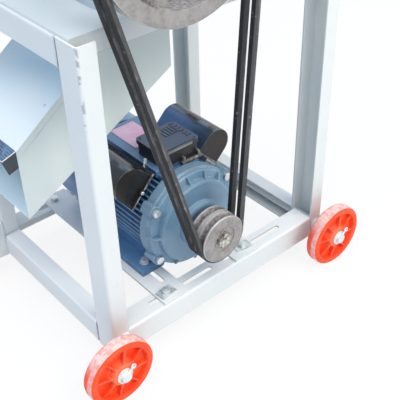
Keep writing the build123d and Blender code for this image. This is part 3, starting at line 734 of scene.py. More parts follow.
def tread_effect() -> bpy.types.NodeTree:
    """A wheel's paler hub, and its tread with whitish scuffs on the outer half, and the same whitish colour
    on its top as a painted top light.

    The running face is where the distance from the axle comes near the rim and the normal leaves the
    axle's line.

    Returns:
        The shared node group.
    """
    inputs = {"Tone": GREY, "Distance": 0.0, "Rim": 0.05, "Middle Y": 0.0, "Half": 0.02}
    made = Effect("scuffed_tread", inputs)
    given = made.given
    ring = 1.0 - (given["Rim"] - given["Distance"]).ramp(0.0025, 0.006)
    band = ring * (1.0 - abs(made.facing[1]).ramp(0.25, 0.7))
    made.paint(band * 0.5, (254.0, 104.0, 84.0))
    hub = 1.0 - (given["Distance"] / given["Rim"]).ramp(0.36, 0.46)
    made.paint(hub * 0.8, (255.0, 132.0, 90.0))
    # Painted top light: the tread's faces that look up take the whitish colour too.
    painted_top_light = made.facing[2].ramp(0.35, 0.85) * 0.9
    across = (given["Middle Y"] - made.spot[1]) / given["Half"] + made.noise(50.0, 4.0) * 0.7
    outer = across.ramp(0.2, 0.55) * 0.72
    mottled = made.noise(130.0, 6.0).ramp(0.36, 0.6) * 0.5 + 0.5
    made.paint(band * outer.maths("MAXIMUM", painted_top_light) * mottled * 0.95, (254.0, 226.0, 220.0))
    return made.closed(Tone=made.tone)


def corner_effect() -> bpy.types.NodeTree:
    """Chips in the paint of an upright corner edge: near the line x, y, above a height, where noise is high.

    Returns:
        The shared node group.
    """
    made = Effect("corner_chips", {"Tone": GREY, "Corner X": 0.0, "Corner Y": 0.0, "From Z": 0.0})
    given = made.given
    x, y, z = made.spot
    away = abs(x - given["Corner X"]) + abs(y - given["Corner Y"])
    rise = z - given["From Z"]
    patch = (made.noise(70.0, 5.0) + rise * 1.1).ramp(0.58, 0.63) * rise.ramp(0.0, 0.02)
    made.paint((1.0 - away.ramp(0.0012, 0.0042)) * patch, (88.0, 80.0, 110.0))
    return made.closed(Tone=made.tone)


def axle_effect() -> bpy.types.NodeTree:
    """Paint on an axle between two places along Y, and bare zinc on its ends, also given as a mask.

    Returns:
        The shared node group.
    """
    made = Effect("painted_span", {"Tone": GREY, "Low Y": 0.0, "High Y": 0.0})
    given = made.given
    before = (given["Low Y"] - made.spot[1]).ramp(0.0, 0.001)
    bare = (before + (made.spot[1] - given["High Y"]).ramp(0.0, 0.001)).held()
    made.paint(bare, (228.0, 235.0, 238.0))
    return made.closed(Tone=made.tone, Bare=bare * 0.5)


def chute_effect() -> bpy.types.NodeTree:
    """A painted reflection of blue sky high on the chute's top, painted light on the floor inside its mouth,
    painted shade on its sides near the deck, and a visor painted dark as shade and spotted with rust.

    The painted reflection and the painted shade grow with height over Cast From. The visor is what lies past
    Mouth X.

    Returns:
        The shared node group.
    """
    made = Effect("chute_tones", {"Tone": GREY, "Mouth X": 0.0, "Cast From": 0.0, "Slope": 0.7})
    given = made.given
    x, _, z = made.spot
    upward = made.facing[2].ramp(0.3, 0.6)
    rise = z - given["Cast From"]
    uneven = (made.noise(7.0, 3.0) - 0.5) * 0.06
    # Painted reflection: blue sky on the top faces, stronger higher up.
    made.paint((rise + uneven).ramp(-0.01, 0.12) * upward, (176.0, 224.0, 255.0))
    # Painted light: the floor inside the mouth, well below the top plate, is painted paler.
    under = (x - given["Mouth X"]) * given["Slope"] - rise
    made.paint(under.ramp(0.03, 0.04) * upward, (224.0, 248.0, 255.0))
    # Painted shade on the sides, darker towards the deck.
    made.paint(rise.ramp(-0.07, 0.06) * 0.7 * (1.0 - upward), (164.0, 176.0, 176.0))
    # Painted shade: the visor past the mouth is painted dark, with rust spots over it.
    past = x.maths("LESS_THAN", given["Mouth X"])
    made.paint(past, (58.0, 66.0, 76.0))
    made.paint(made.noise(70.0, 4.0).ramp(0.53, 0.6) * past, (78.0, 52.0, 50.0))
    return made.closed(Tone=made.tone)


@dataclass(frozen=True)
class Finish:
    """How one kind of surface looks. Colours are in display steps from 0 to 255."""

    name: str
    slot: Slot
    base: Colour
    tint: Colour
    # edge: colour of the pale outward edges, rubbed wear; the bright ones on the motor, bell and wheel are
    # also a painted highlight.
    edge: Colour = (225.0, 225.0, 222.0)
    # dirt: colour laid where ambient light is held off; darker than the base it is painted shade in hollows
    # as well as grime.
    dirt: Colour = (96.0, 86.0, 76.0)
    # top and top_amount: a painted top light on faces that look up.
    top: Colour = (214.0, 226.0, 240.0)
    top_amount: float = 0.0
    mottle: float = 0.5
    mottle_scale: float = 9.0
    edge_amount: float = 0.4
    edge_width: float = 0.0012
    dirt_amount: float = 0.3
    grain: float = 0.5
    grain_scale: float = 900.0
    specks: float = 0.0
    bump: float = 0.00005
    roughness: float = 0.42
    metallic: float = 0.0
    coat: float = 0.0
    coat_roughness: float = 0.1
    specular: float = 0.5

    def build(self, effect: bpy.types.NodeTree) -> bpy.types.Material:
        """Makes the material from the shared surface effect.

        Args:
            effect: the worked-surface node group.

        Returns:
            The finished material.
        """
        material = bpy.data.materials.new(self.name)
        material.use_nodes = True
        graph = Graph(material.node_tree)
        worked = graph.add("Group", out="Colour", node_tree=effect)
        for key in WORKED_COLOURS + WORKED_AMOUNTS:
            graph.feed(worked.socket.node.inputs[key], getattr(self, key.lower().replace(" ", "_")))
        height, normal = worked.beside("Height"), worked.beside("Normal")
        looks = {
            "Base Color": worked, "Roughness": worked.beside("Roughness"), "Metallic": self.metallic,
            "Normal": graph.add("Bump", {"Distance": self.bump, "Height": height, "Normal": normal}),
            "Coat Weight": self.coat, "Coat Roughness": self.coat_roughness,
            "Specular IOR Level": self.specular,
        }
        for key, value in looks.items():
            graph.feed(graph.tree.nodes["Principled BSDF"].inputs[key], value)
        return material


# Where a finish sets top and top_amount, that top colour is a painted top light on faces that look up.
FINISHES = {
    "frame": Finish(
        "pale_frame_paint", Slot.FRAME, (228, 231, 228), (218, 225, 226), edge=(238, 242, 242),
        dirt=(120, 112, 100), top=(250, 252, 252), top_amount=0.85, mottle_scale=6.0, dirt_amount=0.35,
        grain=0.6, grain_scale=700.0, bump=0.00006, roughness=0.5, coat=0.06, specular=0.3, specks=0.12,
    ),
    "weld": Finish(
        "painted_weld", Slot.FRAME, (212, 220, 226), (190, 198, 204), edge=(230, 234, 236),
        dirt=(110, 96, 82), mottle=0.8, mottle_scale=90.0, dirt_amount=0.6, bump=0.0001, roughness=0.4,
        coat=0.2, specks=0.5,
    ),
    "sheet": Finish(
        "pale_sheet_paint", Slot.SHEET, (222, 230, 228), (208, 217, 218), edge=(238, 243, 242),
        dirt=(126, 124, 116), top=(226, 234, 236), top_amount=0.6, mottle_scale=4.0, dirt_amount=0.25,
        grain_scale=600.0, roughness=0.34, coat=0.3, specks=0.06,
    ),
    "chute": Finish(
        "pale_chute_paint", Slot.SHEET, (236, 244, 238), (220, 230, 227), edge=(240, 245, 243),
        dirt=(126, 124, 116), top=(246, 254, 255), top_amount=0.95, mottle_scale=4.0, dirt_amount=0.25,
        grain_scale=600.0, roughness=0.3, coat=0.45, specks=0.06,
    ),
    # The motor's dark blue dirt is painted shade in its hollows, and its pale blue edges are rubbed wear and
    # a painted highlight.
    "motor": Finish(
        "blue_motor_paint", Slot.MOTOR, (76, 120, 166), (60, 100, 146), edge=(160, 194, 220),
        dirt=(30, 42, 58), top=(118, 162, 204), top_amount=0.7, mottle=0.7, mottle_scale=22.0,
        edge_amount=0.95, edge_width=0.002, dirt_amount=0.55, grain=0.8, grain_scale=520.0,
        bump=0.00016, coat=0.35, coat_roughness=0.22,
    ),
    # The bell's dark blue dirt is painted shade in its hollows, and its near-white edges are rubbed wear and
    # a painted highlight.
    "bell": Finish(
        "blue_bell_paint", Slot.MOTOR, (116, 150, 174), (98, 134, 162), edge=(206, 228, 236),
        dirt=(46, 64, 84), top=(146, 176, 198), top_amount=0.6, mottle=0.6, mottle_scale=20.0,
        edge_amount=1.0, edge_width=0.0026, dirt_amount=0.5, grain=0.7, grain_scale=480.0, bump=0.00012,
        roughness=0.4, coat=0.35, coat_roughness=0.2,
    ),
    "plastic": Finish(
        "black_moulded_plastic", Slot.PLASTIC, (38, 37, 41), (50, 49, 52), edge=(120, 122, 130),
        dirt=(84, 80, 72), top=(88, 102, 130), top_amount=0.88, mottle=0.6, mottle_scale=30.0,
        edge_amount=0.35, edge_width=0.001, dirt_amount=0.4, grain=0.9, grain_scale=1300.0,
        bump=0.00006, roughness=0.36, coat=0.1, specular=0.4,
    ),
    "cover": Finish(
        "gloss_black_cover", Slot.PLASTIC, (35, 33, 33), (44, 42, 40), edge=(160, 158, 156),
        dirt=(92, 82, 70), mottle=0.7, mottle_scale=14.0, edge_amount=0.95, edge_width=0.0018,
        dirt_amount=0.35, grain=0.3, grain_scale=700.0, specks=0.5, bump=0.00004, roughness=0.24,
        coat=0.28, coat_roughness=0.08, specular=0.25,
    ),
    # The wheel's pale pink edges are rubbed wear and a painted highlight.
    "wheel": Finish(
        "red_moulded_wheel", Slot.WHEEL, (250, 76, 32), (254, 98, 52), edge=(255, 190, 172),
        dirt=(220, 60, 40), mottle=0.6, mottle_scale=26.0, edge_amount=0.8, edge_width=0.0018,
        dirt_amount=0.4, grain_scale=600.0, roughness=0.5, specular=0.25,
    ),
    "belt": Finish(
        "belt_rubber_wrap", Slot.BELT, (29, 30, 33), (40, 40, 42), edge=(96, 92, 88), dirt=(84, 80, 72),
        mottle=0.9, mottle_scale=30.0, edge_amount=0.7, dirt_amount=0.35, grain=1.0, grain_scale=1500.0,
        bump=0.0002, roughness=0.62, specular=0.35,
    ),
    "zinc": Finish(
        "bright_zinc", Slot.ZINC, (232, 238, 240), (196, 204, 206), edge=(250, 250, 250),
        dirt=(84, 78, 70), mottle=0.8, mottle_scale=110.0, edge_amount=0.8, edge_width=0.0006,
        dirt_amount=0.8, grain_scale=1200.0, bump=0.00004, roughness=0.26, metallic=0.5,
    ),
    "machined": Finish(
        "machined_steel", Slot.MACHINED, (222, 220, 216), (96, 88, 80), edge=(240, 240, 238),
        dirt=(52, 42, 34), mottle=0.9, mottle_scale=150.0, edge_amount=0.5, edge_width=0.0008,
        dirt_amount=0.8, bump=0.00006, roughness=0.34, metallic=0.9,
    ),
    "iron": Finish(
        "turned_iron", Slot.PULLEY, (162, 158, 156), (142, 138, 136), edge=(214, 210, 206),
        dirt=(78, 66, 56), mottle=0.9, mottle_scale=55.0, edge_amount=0.7, edge_width=0.001,
        dirt_amount=0.6, grain_scale=800.0, bump=0.00008, roughness=0.46, metallic=0.55,
    ),
    "casting": Finish(
        "pale_casting_paint", Slot.HOUSING, (206, 216, 222), (190, 202, 210), edge=(230, 236, 238),
        dirt=(110, 104, 96), mottle=0.7, mottle_scale=14.0, edge_width=0.002, dirt_amount=0.45,
        grain=1.0, grain_scale=420.0, bump=0.00022, coat=0.2,
    ),
    "plate": Finish(
        "rosy_nameplate", Slot.PLATE, (255, 214, 244), (252, 188, 230), edge=(242, 228, 236),
        dirt=(130, 90, 110), mottle=0.9, mottle_scale=34.0, edge_width=0.0006, grain=0.3, bump=0.00003,
        roughness=0.3, coat=0.4,
    ),
    "screen": Finish(
        "blue_woven_screen", Slot.SHEET, (104, 134, 168), (64, 88, 120), edge=(206, 218, 230),
        dirt=(48, 54, 66), top=(122, 154, 190), top_amount=0.4, mottle=0.9, mottle_scale=90.0,
        edge_amount=0.7, edge_width=0.0008, roughness=0.35, metallic=0.3,
    ),
    "lid_edge": Finish(
        "rubbed_lid_edge", Slot.PLASTIC, (148, 148, 146), (110, 110, 110), edge=(190, 190, 188),
        dirt=(70, 68, 64), mottle=0.9, mottle_scale=60.0, dirt_amount=0.4, roughness=0.4,
    ),
    "seam": Finish(
        "sealing_bead", Slot.SHEET, (186, 194, 192), (98, 98, 94), edge=(214, 220, 218),
        dirt=(80, 74, 66), mottle=1.0, mottle_scale=48.0, edge_amount=0.1, dirt_amount=0.5,
        roughness=0.6,
    ),
    "worn_plate": Finish(
        "worn_washer_plate", Slot.ZINC, (226, 234, 236), (176, 184, 182), edge=(244, 246, 246),
        dirt=(84, 82, 70), mottle=0.9, mottle_scale=80.0, edge_amount=0.8, edge_width=0.0008,
        dirt_amount=0.6, metallic=0.2,
    ),
    "rim": Finish(
        "rubbed_rim", Slot.PLASTIC, (178, 178, 174), (46, 44, 42), edge=(190, 190, 188),
        dirt=(70, 68, 64), mottle=1.0, mottle_scale=55.0, roughness=0.4,
    ),
    "clip": Finish(
        "dull_clip", Slot.ZINC, (150, 148, 144), (70, 66, 62), edge=(214, 214, 212), dirt=(52, 46, 42),
        mottle=0.9, mottle_scale=90.0, edge_amount=0.6, dirt_amount=0.8, roughness=0.38, metallic=0.4,
    ),
    "dark": Finish(
        "dark_rubber_washer", Slot.PLASTIC, (26, 26, 30), (40, 40, 44), roughness=0.5, mottle=0.4,
        dirt_amount=0.2,
    ),
    "tie": Finish(
        "white_nylon", Slot.PLASTIC, (236, 238, 234), (222, 224, 220), edge=(246, 246, 244),
        roughness=0.4, mottle=0.4, dirt_amount=0.2,
    ),
}


class Palette:
    """Builds the finishes once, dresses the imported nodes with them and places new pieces."""

    def __init__(self) -> None:
        """Builds the shared effects and every material."""
        self.surface = surface_effect()
        self.rings = turned_effect()
        effects = (
            corner_effect(), axle_effect(), chute_effect(), pulley_effect(), tread_effect(), rubber_effect(),
            painted_reflection_effect(), screen_effect(),
        )
        self.effects = {effect.name: effect for effect in effects}
        self.made = {key: finish.build(self.surface) for key, finish in FINISHES.items()}

    def dress(self, key: str | bpy.types.Material, *nodes: str) -> None:
        """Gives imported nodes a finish.

        Args:
            key: the finish's key, or a material.
            nodes: the nodes' names.
        """
        material = self.made[key] if isinstance(key, str) else key
        for name in nodes:
            mesh = frame["nodes"][name].data
            mesh.materials.clear()
            mesh.materials.append(material)
            LOG.info("%s wears %s", name, material.name)

    def renamed(self, key: str, name: str) -> bpy.types.Material:
        """A copy of a finish under a name of its own.

        Args:
            key: the finish that is copied.
            name: the new material's name.

        Returns:
            The new material.
        """
        material = self.made[key].copy()
        material.name = name
        return material

    def centred(self, key: str, name: str, middle: Vector, pitch: float, depth: float) -> bpy.types.Material:
        """A copy of a finish with lathe rings about a line along Y.

        Args:
            key: the finish that is copied.
            name: the new material's name.
            middle: a point on the line.
            pitch: the rings' spacing.
            depth: how strongly they show.

        Returns:
            The new material.
        """
        material = self.renamed(key, name)
        graph = Graph(material.node_tree)
        shifted = graph.add("Mapping", {"Vector": graph.add("TexCoord", out="Object"), "Location": -middle})
        rings = graph.add("Group", node_tree=self.rings)
        for socket, value in (("Place", shifted), ("Pitch", pitch), ("Depth", depth)):
            graph.feed(rings.socket.node.inputs[socket], value)
        worked = Value(graph.tree, graph.group_of(self.surface).outputs["Height"])
        bump = next(n for n in graph.tree.nodes if n.type == "BUMP")
        graph.feed(bump.inputs["Height"], rings.beside("Height") + worked)
        return material

    def dress_pulley(self, node: str, middle: Vector, pitch: float, depth: float, pits: float) -> None:
        """Gives a packed pulley turned iron with belt polish and pits.

        Args:
            node: the pulley.
            middle: a point on its line.
            pitch: the lathe rings' spacing.
            depth: how strongly the rings show.
            pits: the radius that the pits lie within.
        """
        lo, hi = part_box(node)
        iron = self.centred("iron", "turned_" + node, middle, pitch, depth)
        self.dress(self.overlaid(iron, "pulley_polish_and_highlight", Pit_Radius=pits, Rim=(hi.x - lo.x) / 2.0), node)

    def dress_shaft(self, node: str, middle: Vector) -> None:
        """Gives a packed shaft machined steel with fine lathe rings."""
        self.dress(self.centred("machined", "turned_" + node, middle, 0.6 * MM, 0.5), node)

    def overlaid(self, material: bpy.types.Material, effect: str, **values: object) -> bpy.types.Material:
        """Lays an effect's Tone over what colours a material so far.

        Args:
            material: the finish, which is changed.
            effect: the name of a node group with Tone going in and out.
            values: what the group's other inputs are set to, with _ for a space.

        Returns:
            The same material.
        """
        graph = Graph(material.node_tree)
        shader = graph.tree.nodes["Principled BSDF"]
        tone = Value(graph.tree, shader.inputs["Base Color"].links[0].from_socket)
        group = graph.add("Group", out="Tone", node_tree=self.effects[effect])
        sockets = group.socket.node.inputs
        for key, value in {"Tone": tone, **values}.items():
            graph.feed(sockets[key.replace("_", " ")], value)
        rings = graph.group_of(self.rings)
        if rings and "Distance" in sockets:
            graph.feed(sockets["Distance"], Value(graph.tree, rings.outputs["Distance"]))
        graph.feed(shader.inputs["Base Color"], group)
        if "Bare" in group.socket.node.outputs:
            graph.feed(shader.inputs["Metallic"], group.beside("Bare"))
        return material

    def place(self, name: str, skin: Skin, key: str, slot: Slot | None = None, body: str = FIXED_BODY,
              hides: tuple[str, ...] = (), crease: float = 32.0) -> None:
        """Makes a surface a finished piece that moves with a body.

        Args:
            name: the piece's name.
            skin: its surface.
            key: its finish.
            slot: the record's slot, where it isn't the finish's own; it is worked out but not used.
            body: the body that it rides on.
            hides: the nodes that it stands for.
            crease: edges that bend by more degrees than this stay sharp.
        """
        mesh = bpy.data.meshes.new(name)
        mesh.from_pydata(skin.points.tolist(), [], skin.faces.tolist())
        work = bmesh.new()
        work.from_mesh(mesh)
        bmesh.ops.remove_doubles(work, verts=work.verts, dist=1e-6)
        bmesh.ops.recalc_face_normals(work, faces=work.faces)
        limit = math.radians(crease)
        for edge in work.edges:
            edge.smooth = len(edge.link_faces) == 2 and edge.calc_face_angle(0.0) < limit
        for face in work.faces:
            face.smooth = True
        work.to_mesh(mesh)
        work.free()
        mesh.materials.append(self.made[key])
        piece = in_scene(name, mesh)
        slot = slot or FINISHES[key].slot
        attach(piece, body)
        if hides:
            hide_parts(*hides)
        LOG.info("%s: %d faces on %s", name, len(mesh.polygons), body)


@dataclass
class WheeledFrame:
    """Channel legs, rails and wheels, with the welds that hold them."""

    palette: Palette
    bead: float = 1.7 * MM
    bracket_bead: float = 2.4 * MM
    foot_bead: float = 2.8 * MM
    bead_inset: float = 2.0 * MM
    foot_run: tuple[float, float] = (6.0 * MM, 26.0 * MM)
    plate_run: float = 38.0 * MM
    paint_past: float = 2.0 * MM
    clear: float = 3.0 * MM
    chips_below_top: float = 150.0 * MM
    side_rails: tuple[str, ...] = ("rail_left", "rail_right", "top_rail_left", "top_rail_right")
    end_rails: tuple[str, ...] = ("rail_front", "rail_rear")

    def dress(self) -> None:
        """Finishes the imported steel, the axle and the wheels."""
        steel = ("leg_", "rail_", "top_rail_", "wheel_bracket", "motor_strap_")
        self.palette.dress("frame", *(n for n in frame["nodes"] if n.startswith(steel)))
        self.palette.dress(self.chipped_leg(), "leg_front_left")
        self.palette.dress(self.axle_material(), "axle_right")
        for name in frame["nodes"]:
            if name.startswith("wheel_") and not name.startswith("wheel_bracket"):
                self.palette.dress(self.wheel_material(name), name)

    def chipped_leg(self) -> bpy.types.Material:
        """The frame's paint with chips along the leg's outer corner, in the upper part of the leg.

        A chip shows where the distance from the corner line, in X and Y, is small and the noise is high.

        Returns:
            The leg's material.
        """
        low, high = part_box("leg_front_left")
        paint = self.palette.renamed("frame", "chipped_frame_paint")
        from_z = high.z - self.chips_below_top
        return self.palette.overlaid(paint, "corner_chips", Corner_X=low.x, Corner_Y=low.y, From_Z=from_z)

    def axle_material(self) -> bpy.types.Material:
        """The frame's paint on the axle inside the rail, and bare zinc where it stands out for the wheels.

        Returns:
            The axle's material.
        """
        low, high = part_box("rail_right")
        paint = self.palette.renamed("frame", "painted_axle")
        ends = {"Low_Y": low.y - self.paint_past, "High_Y": high.y + self.paint_past}
        return self.palette.overlaid(paint, "painted_span", **ends)

    def wheel_material(self, node: str) -> bpy.types.Material:
        """The wheel's red with a pale hub and a scuffed tread, told apart by their distance from the axle.

        Args:
            node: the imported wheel.

        Returns:
            Its material.
        """
        low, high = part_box(node)
        middle, half = (low + high) / 2.0, (high - low) / 2.0
        material = self.palette.centred("wheel", "wheel_red_" + node, middle, 0.002, 0.0)
        return self.palette.overlaid(material, "scuffed_tread", Rim=half.z, Middle_Y=middle.y, Half=half.y)

    def rail_beads(self, node: str, across: int) -> list[Skin]:
        """Beads at both ends of a rail, on its outer face and its top edge.

        Args:
            node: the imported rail.
            across: the axis square to the rail, 0 for X and 1 for Y.

        Returns:
            Four beads.
        """
        middle = (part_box("leg_front_left")[0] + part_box("leg_rear_right")[1]) / 2.0
        lo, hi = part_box(node)
        on_low_side = (lo[across] + hi[across]) / 2.0 < middle[across]
        outer, inner, sign = (lo, hi, -1.0) if on_low_side else (hi, lo, 1.0)
        out = (sign, 0.0, 0.0) if across == 0 else (0.0, sign, 0.0)
        beads = []
        for end in (lo[1 - across], hi[1 - across]):
            face, edge = ((outer.x, end), (inner.x, end)) if across == 0 else ((end, outer.y), (end, inner.y))
            beads.append(weld_bead((*face, lo.z + self.clear), (*face, hi.z - self.clear), self.bead, out))
            beads.append(weld_bead((*face, hi.z), (*edge, hi.z), self.bead, UPWARD))
        return beads

    def bracket_welds(self) -> Skin:
        """Short runs that hold the left wheels' bracket and plate to their legs.

        Returns:
            Three beads.
        """
        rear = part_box("leg_rear_left")[0]
        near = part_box("leg_front_left")[0]
        bracket_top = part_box("wheel_bracket")[1].z
        inset = self.bead_inset
        start, end = (rear.y + along for along in self.foot_run)
        runs = (
            ((*rear.xy, rear.z + inset), (*rear.xy, bracket_top - inset), self.bracket_bead),
            ((rear.x, start, rear.z + inset), (rear.x, end, rear.z + 1.5 * inset), self.foot_bead),
            ((*near.xy, near.z + 2.0 * inset), (*near.xy, near.z + self.plate_run), self.bracket_bead),
        )
        return joined([weld_bead(a, b, radius, (-1.0, 0.0, 0.0)) for a, b, radius in runs])

    def build(self) -> None:
        """Dresses the frame and adds its welds."""
        self.dress()
        beads = [self.rail_beads(rail, 0) for rail in self.side_rails]
        beads += [self.rail_beads(rail, 1) for rail in self.end_rails]
        self.palette.place("frame_welds", joined(sum(beads, [])), "weld", crease=SEAM_CREASE)
        self.palette.place("bracket_welds", self.bracket_welds(), "weld", crease=SEAM_CREASE)


@dataclass
class Straps:
    """The two flat bars under the motor, with slots for its foot bolts."""

    palette: Palette
    slot_half: float = 4.6 * MM
    slot_from: float = 42.0 * MM
    slot_to: float = 110.0 * MM
    second: float = 100.0 * MM
    inward: float = 6.0 * MM
    bolt_inset: float = 8.5 * MM

    def plate(self, lo: Vector, hi: Vector, slot_x: float, slot_y0: float, slot_y1: float) -> Skin:
        """A piece of bar with one long slot through it.

        Rings of points run round the bar: outer edge above, slot edge above, slot edge below, outer edge
        below. On each ring the points stand at equal shares of the round: the slot's edge is two half
        circles joined by straight lines, and the outer edge is the rectangle met by rays from them.

        Args:
            lo: the piece's lowest corner.
            hi: its highest corner.
            slot_x: the slot's middle line.
            slot_y0: where the slot starts.
            slot_y1: where it ends.

        Returns:
            The closed surface.
        """
        turn = np.linspace(0.0, 2.0 * np.pi, 96, endpoint=False) + np.pi / 96
        cos, sin = np.cos(turn), np.sin(turn)
        mid = np.where(sin > 0.0, slot_y1 - self.slot_half, slot_y0 + self.slot_half)
        reach_x = np.where(cos > 0.0, hi.x - slot_x, slot_x - lo.x) / np.maximum(np.abs(cos), 1e-9)
        reach_y = np.where(sin > 0.0, hi.y - mid, mid - lo.y) / np.maximum(np.abs(sin), 1e-9)
        reach = np.minimum(reach_x, reach_y)
        inner = np.column_stack([slot_x + self.slot_half * cos, mid + self.slot_half * sin])
        outer = np.column_stack([slot_x + reach * cos, mid + reach * sin])
        corner = np.array([(hi.x, hi.y), (lo.x, hi.y), (lo.x, lo.y), (hi.x, lo.y)])
        outer[np.argmin(np.linalg.norm(outer[:, None] - corner[None], axis=2), axis=0)] = corner
        levels = ((outer, hi.z), (inner, hi.z), (inner, lo.z), (outer, lo.z))
        rings = [np.column_stack([ring, np.full(len(ring), z)]) for ring, z in levels]
        return woven(np.stack(rings), wrap_u=True, wrap_v=True)

    def strap(self, node: str, side: float) -> Skin:
        """One bar in two pieces, each with its slot, that meet under the motor.

        Args:
            node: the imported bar.
            side: how far the slots lie to the bar's right, as a share of the usual shift.

        Returns:
            The bar.
        """
        lo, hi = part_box(node)
        slot_x = (lo.x + hi.x) / 2.0 + side * self.inward
        start = lo.y + self.slot_from
        length = self.slot_to - self.slot_from
        half = start + length + (self.second - length) / 2.0
        later = start + self.second
        return joined([
            self.plate(lo, Vector((hi.x, half, hi.z)), slot_x, start, start + length),
            self.plate(Vector((lo.x, half, lo.z)), hi, slot_x, later, later + length),
        ])

    def build(self) -> None:
        """Replaces the plain bars by slotted ones."""
        left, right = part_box("foot_bolts")
        foot_lines = {
            "motor_strap_left": left.x + self.bolt_inset,
            "motor_strap_right": right.x - self.bolt_inset,
        }
        for node, foot_x in foot_lines.items():
            lo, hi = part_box(node)
            side = (foot_x - (lo.x + hi.x) / 2.0) / self.inward
            self.palette.place(node + "_slotted", self.strap(node, side), "frame", hides=(node,))


@dataclass
class Fastening:
    """Hexagon bolts with washers and nuts that hold the straps and the motor's feet."""

    palette: Palette
    washer_r: float = 8.5 * MM
    washer_t: float = 1.6 * MM
    across: float = 12.6 * MM
    head_h: float = 5.5 * MM
    nut_h: float = 4.0 * MM
    shank_r: float = 3.9 * MM
    pitch: float = 1.2 * MM
    thread_deep: float = 0.3 * MM
    nut_up: float = 2.0 * MM
    nut_turn: float = 0.4
    plate_half: tuple[float, float] = (15.0 * MM, 9.5 * MM)
    plate_t: float = 1.5 * MM
    plate_gap: float = 0.05 * MM
    plate_turns: tuple[float, float] = (0.12, -0.15)
    strap_turns: tuple[float, ...] = (0.3, 1.1, 0.7, 0.1)
    foot_turns: tuple[float, ...] = (0.9, 0.2, 0.5, 1.3)

    def bolt(self, x: float, y: float, seat: float, end: float, turn: float, nut: bool) -> Skin:
        """One bolt, head up. Its thread is a profile that steps between crest and root each half pitch.

        Args:
            x: its place across.
            y: its place back.
            seat: height of the face under its washer.
            end: height of its lower end.
            turn: how far its head is turned, in radians.
            nut: it has a nut at its lower end.

        Returns:
            Head, washer, threaded shank and nut.
        """
        crest = np.arange(0.0, seat - end, self.pitch / 2.0)
        wave = self.shank_r - self.thread_deep * (np.arange(len(crest)) % 2)
        thread = np.vstack([(0.0, 0.0), np.column_stack([wave, crest]), (self.shank_r, seat - end)])
        skins = [
            hex_head((x, y, seat + self.washer_t), Along.Z, self.across, self.head_h, turn),
            washer((x, y, seat), Along.Z, self.washer_r, self.shank_r, self.washer_t),
            turned(thread, (x, y, end), Along.Z, 24),
        ]
        if nut:
            at = (x, y, end + self.nut_up)
            skins.append(hex_head(at, Along.Z, self.across, self.nut_h, turn + self.nut_turn))
        return joined(skins)

    def plates(self) -> Skin:
        """The front strap bolts' square washer plates, each a little turned on its bolt.

        Returns:
            Both plates.
        """
        lo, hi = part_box("strap_bolts")
        seat = hi.z - self.washer_t - self.head_h
        half = np.array([(-1.0, -1.0), (1.0, -1.0), (1.0, 1.0), (-1.0, 1.0)]) * self.plate_half
        skins = []
        for x, turn in zip((lo.x + self.washer_r, hi.x - self.washer_r), self.plate_turns):
            spin = np.array([[math.cos(turn), math.sin(turn)], [-math.sin(turn), math.cos(turn)]])
            ring = half @ spin + np.array([x, lo.y + self.washer_r])
            skins.append(prism(ring, [0, 1], 2, (seat + self.plate_gap, seat + self.plate_t)))
        return joined(skins)

    def four(self, node: str, nut: bool, turns: tuple[float, ...]) -> Skin:
        """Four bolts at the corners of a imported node's box.

        Args:
            node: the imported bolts.
            nut: each has a nut below.
            turns: how far each head is turned, in radians.

        Returns:
            The bolts.
        """
        lo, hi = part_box(node)
        seat = hi.z - self.washer_t - self.head_h
        places = corners(lo, hi, self.washer_r, self.washer_r)
        return joined([self.bolt(x, y, seat, lo.z, turn, nut) for (x, y), turn in zip(places, turns)])

    def build(self) -> None:
        """Replaces the plain bolts by threaded ones."""
        strap = self.four("strap_bolts", True, self.strap_turns)
        foot = self.four("foot_bolts", False, self.foot_turns)
        self.palette.place("strap_fasteners", strap, "zinc", hides=("strap_bolts",))
        self.palette.place("strap_plates", self.plates(), "worn_plate")
        self.palette.place("foot_fasteners", foot, "zinc", hides=("foot_bolts",))


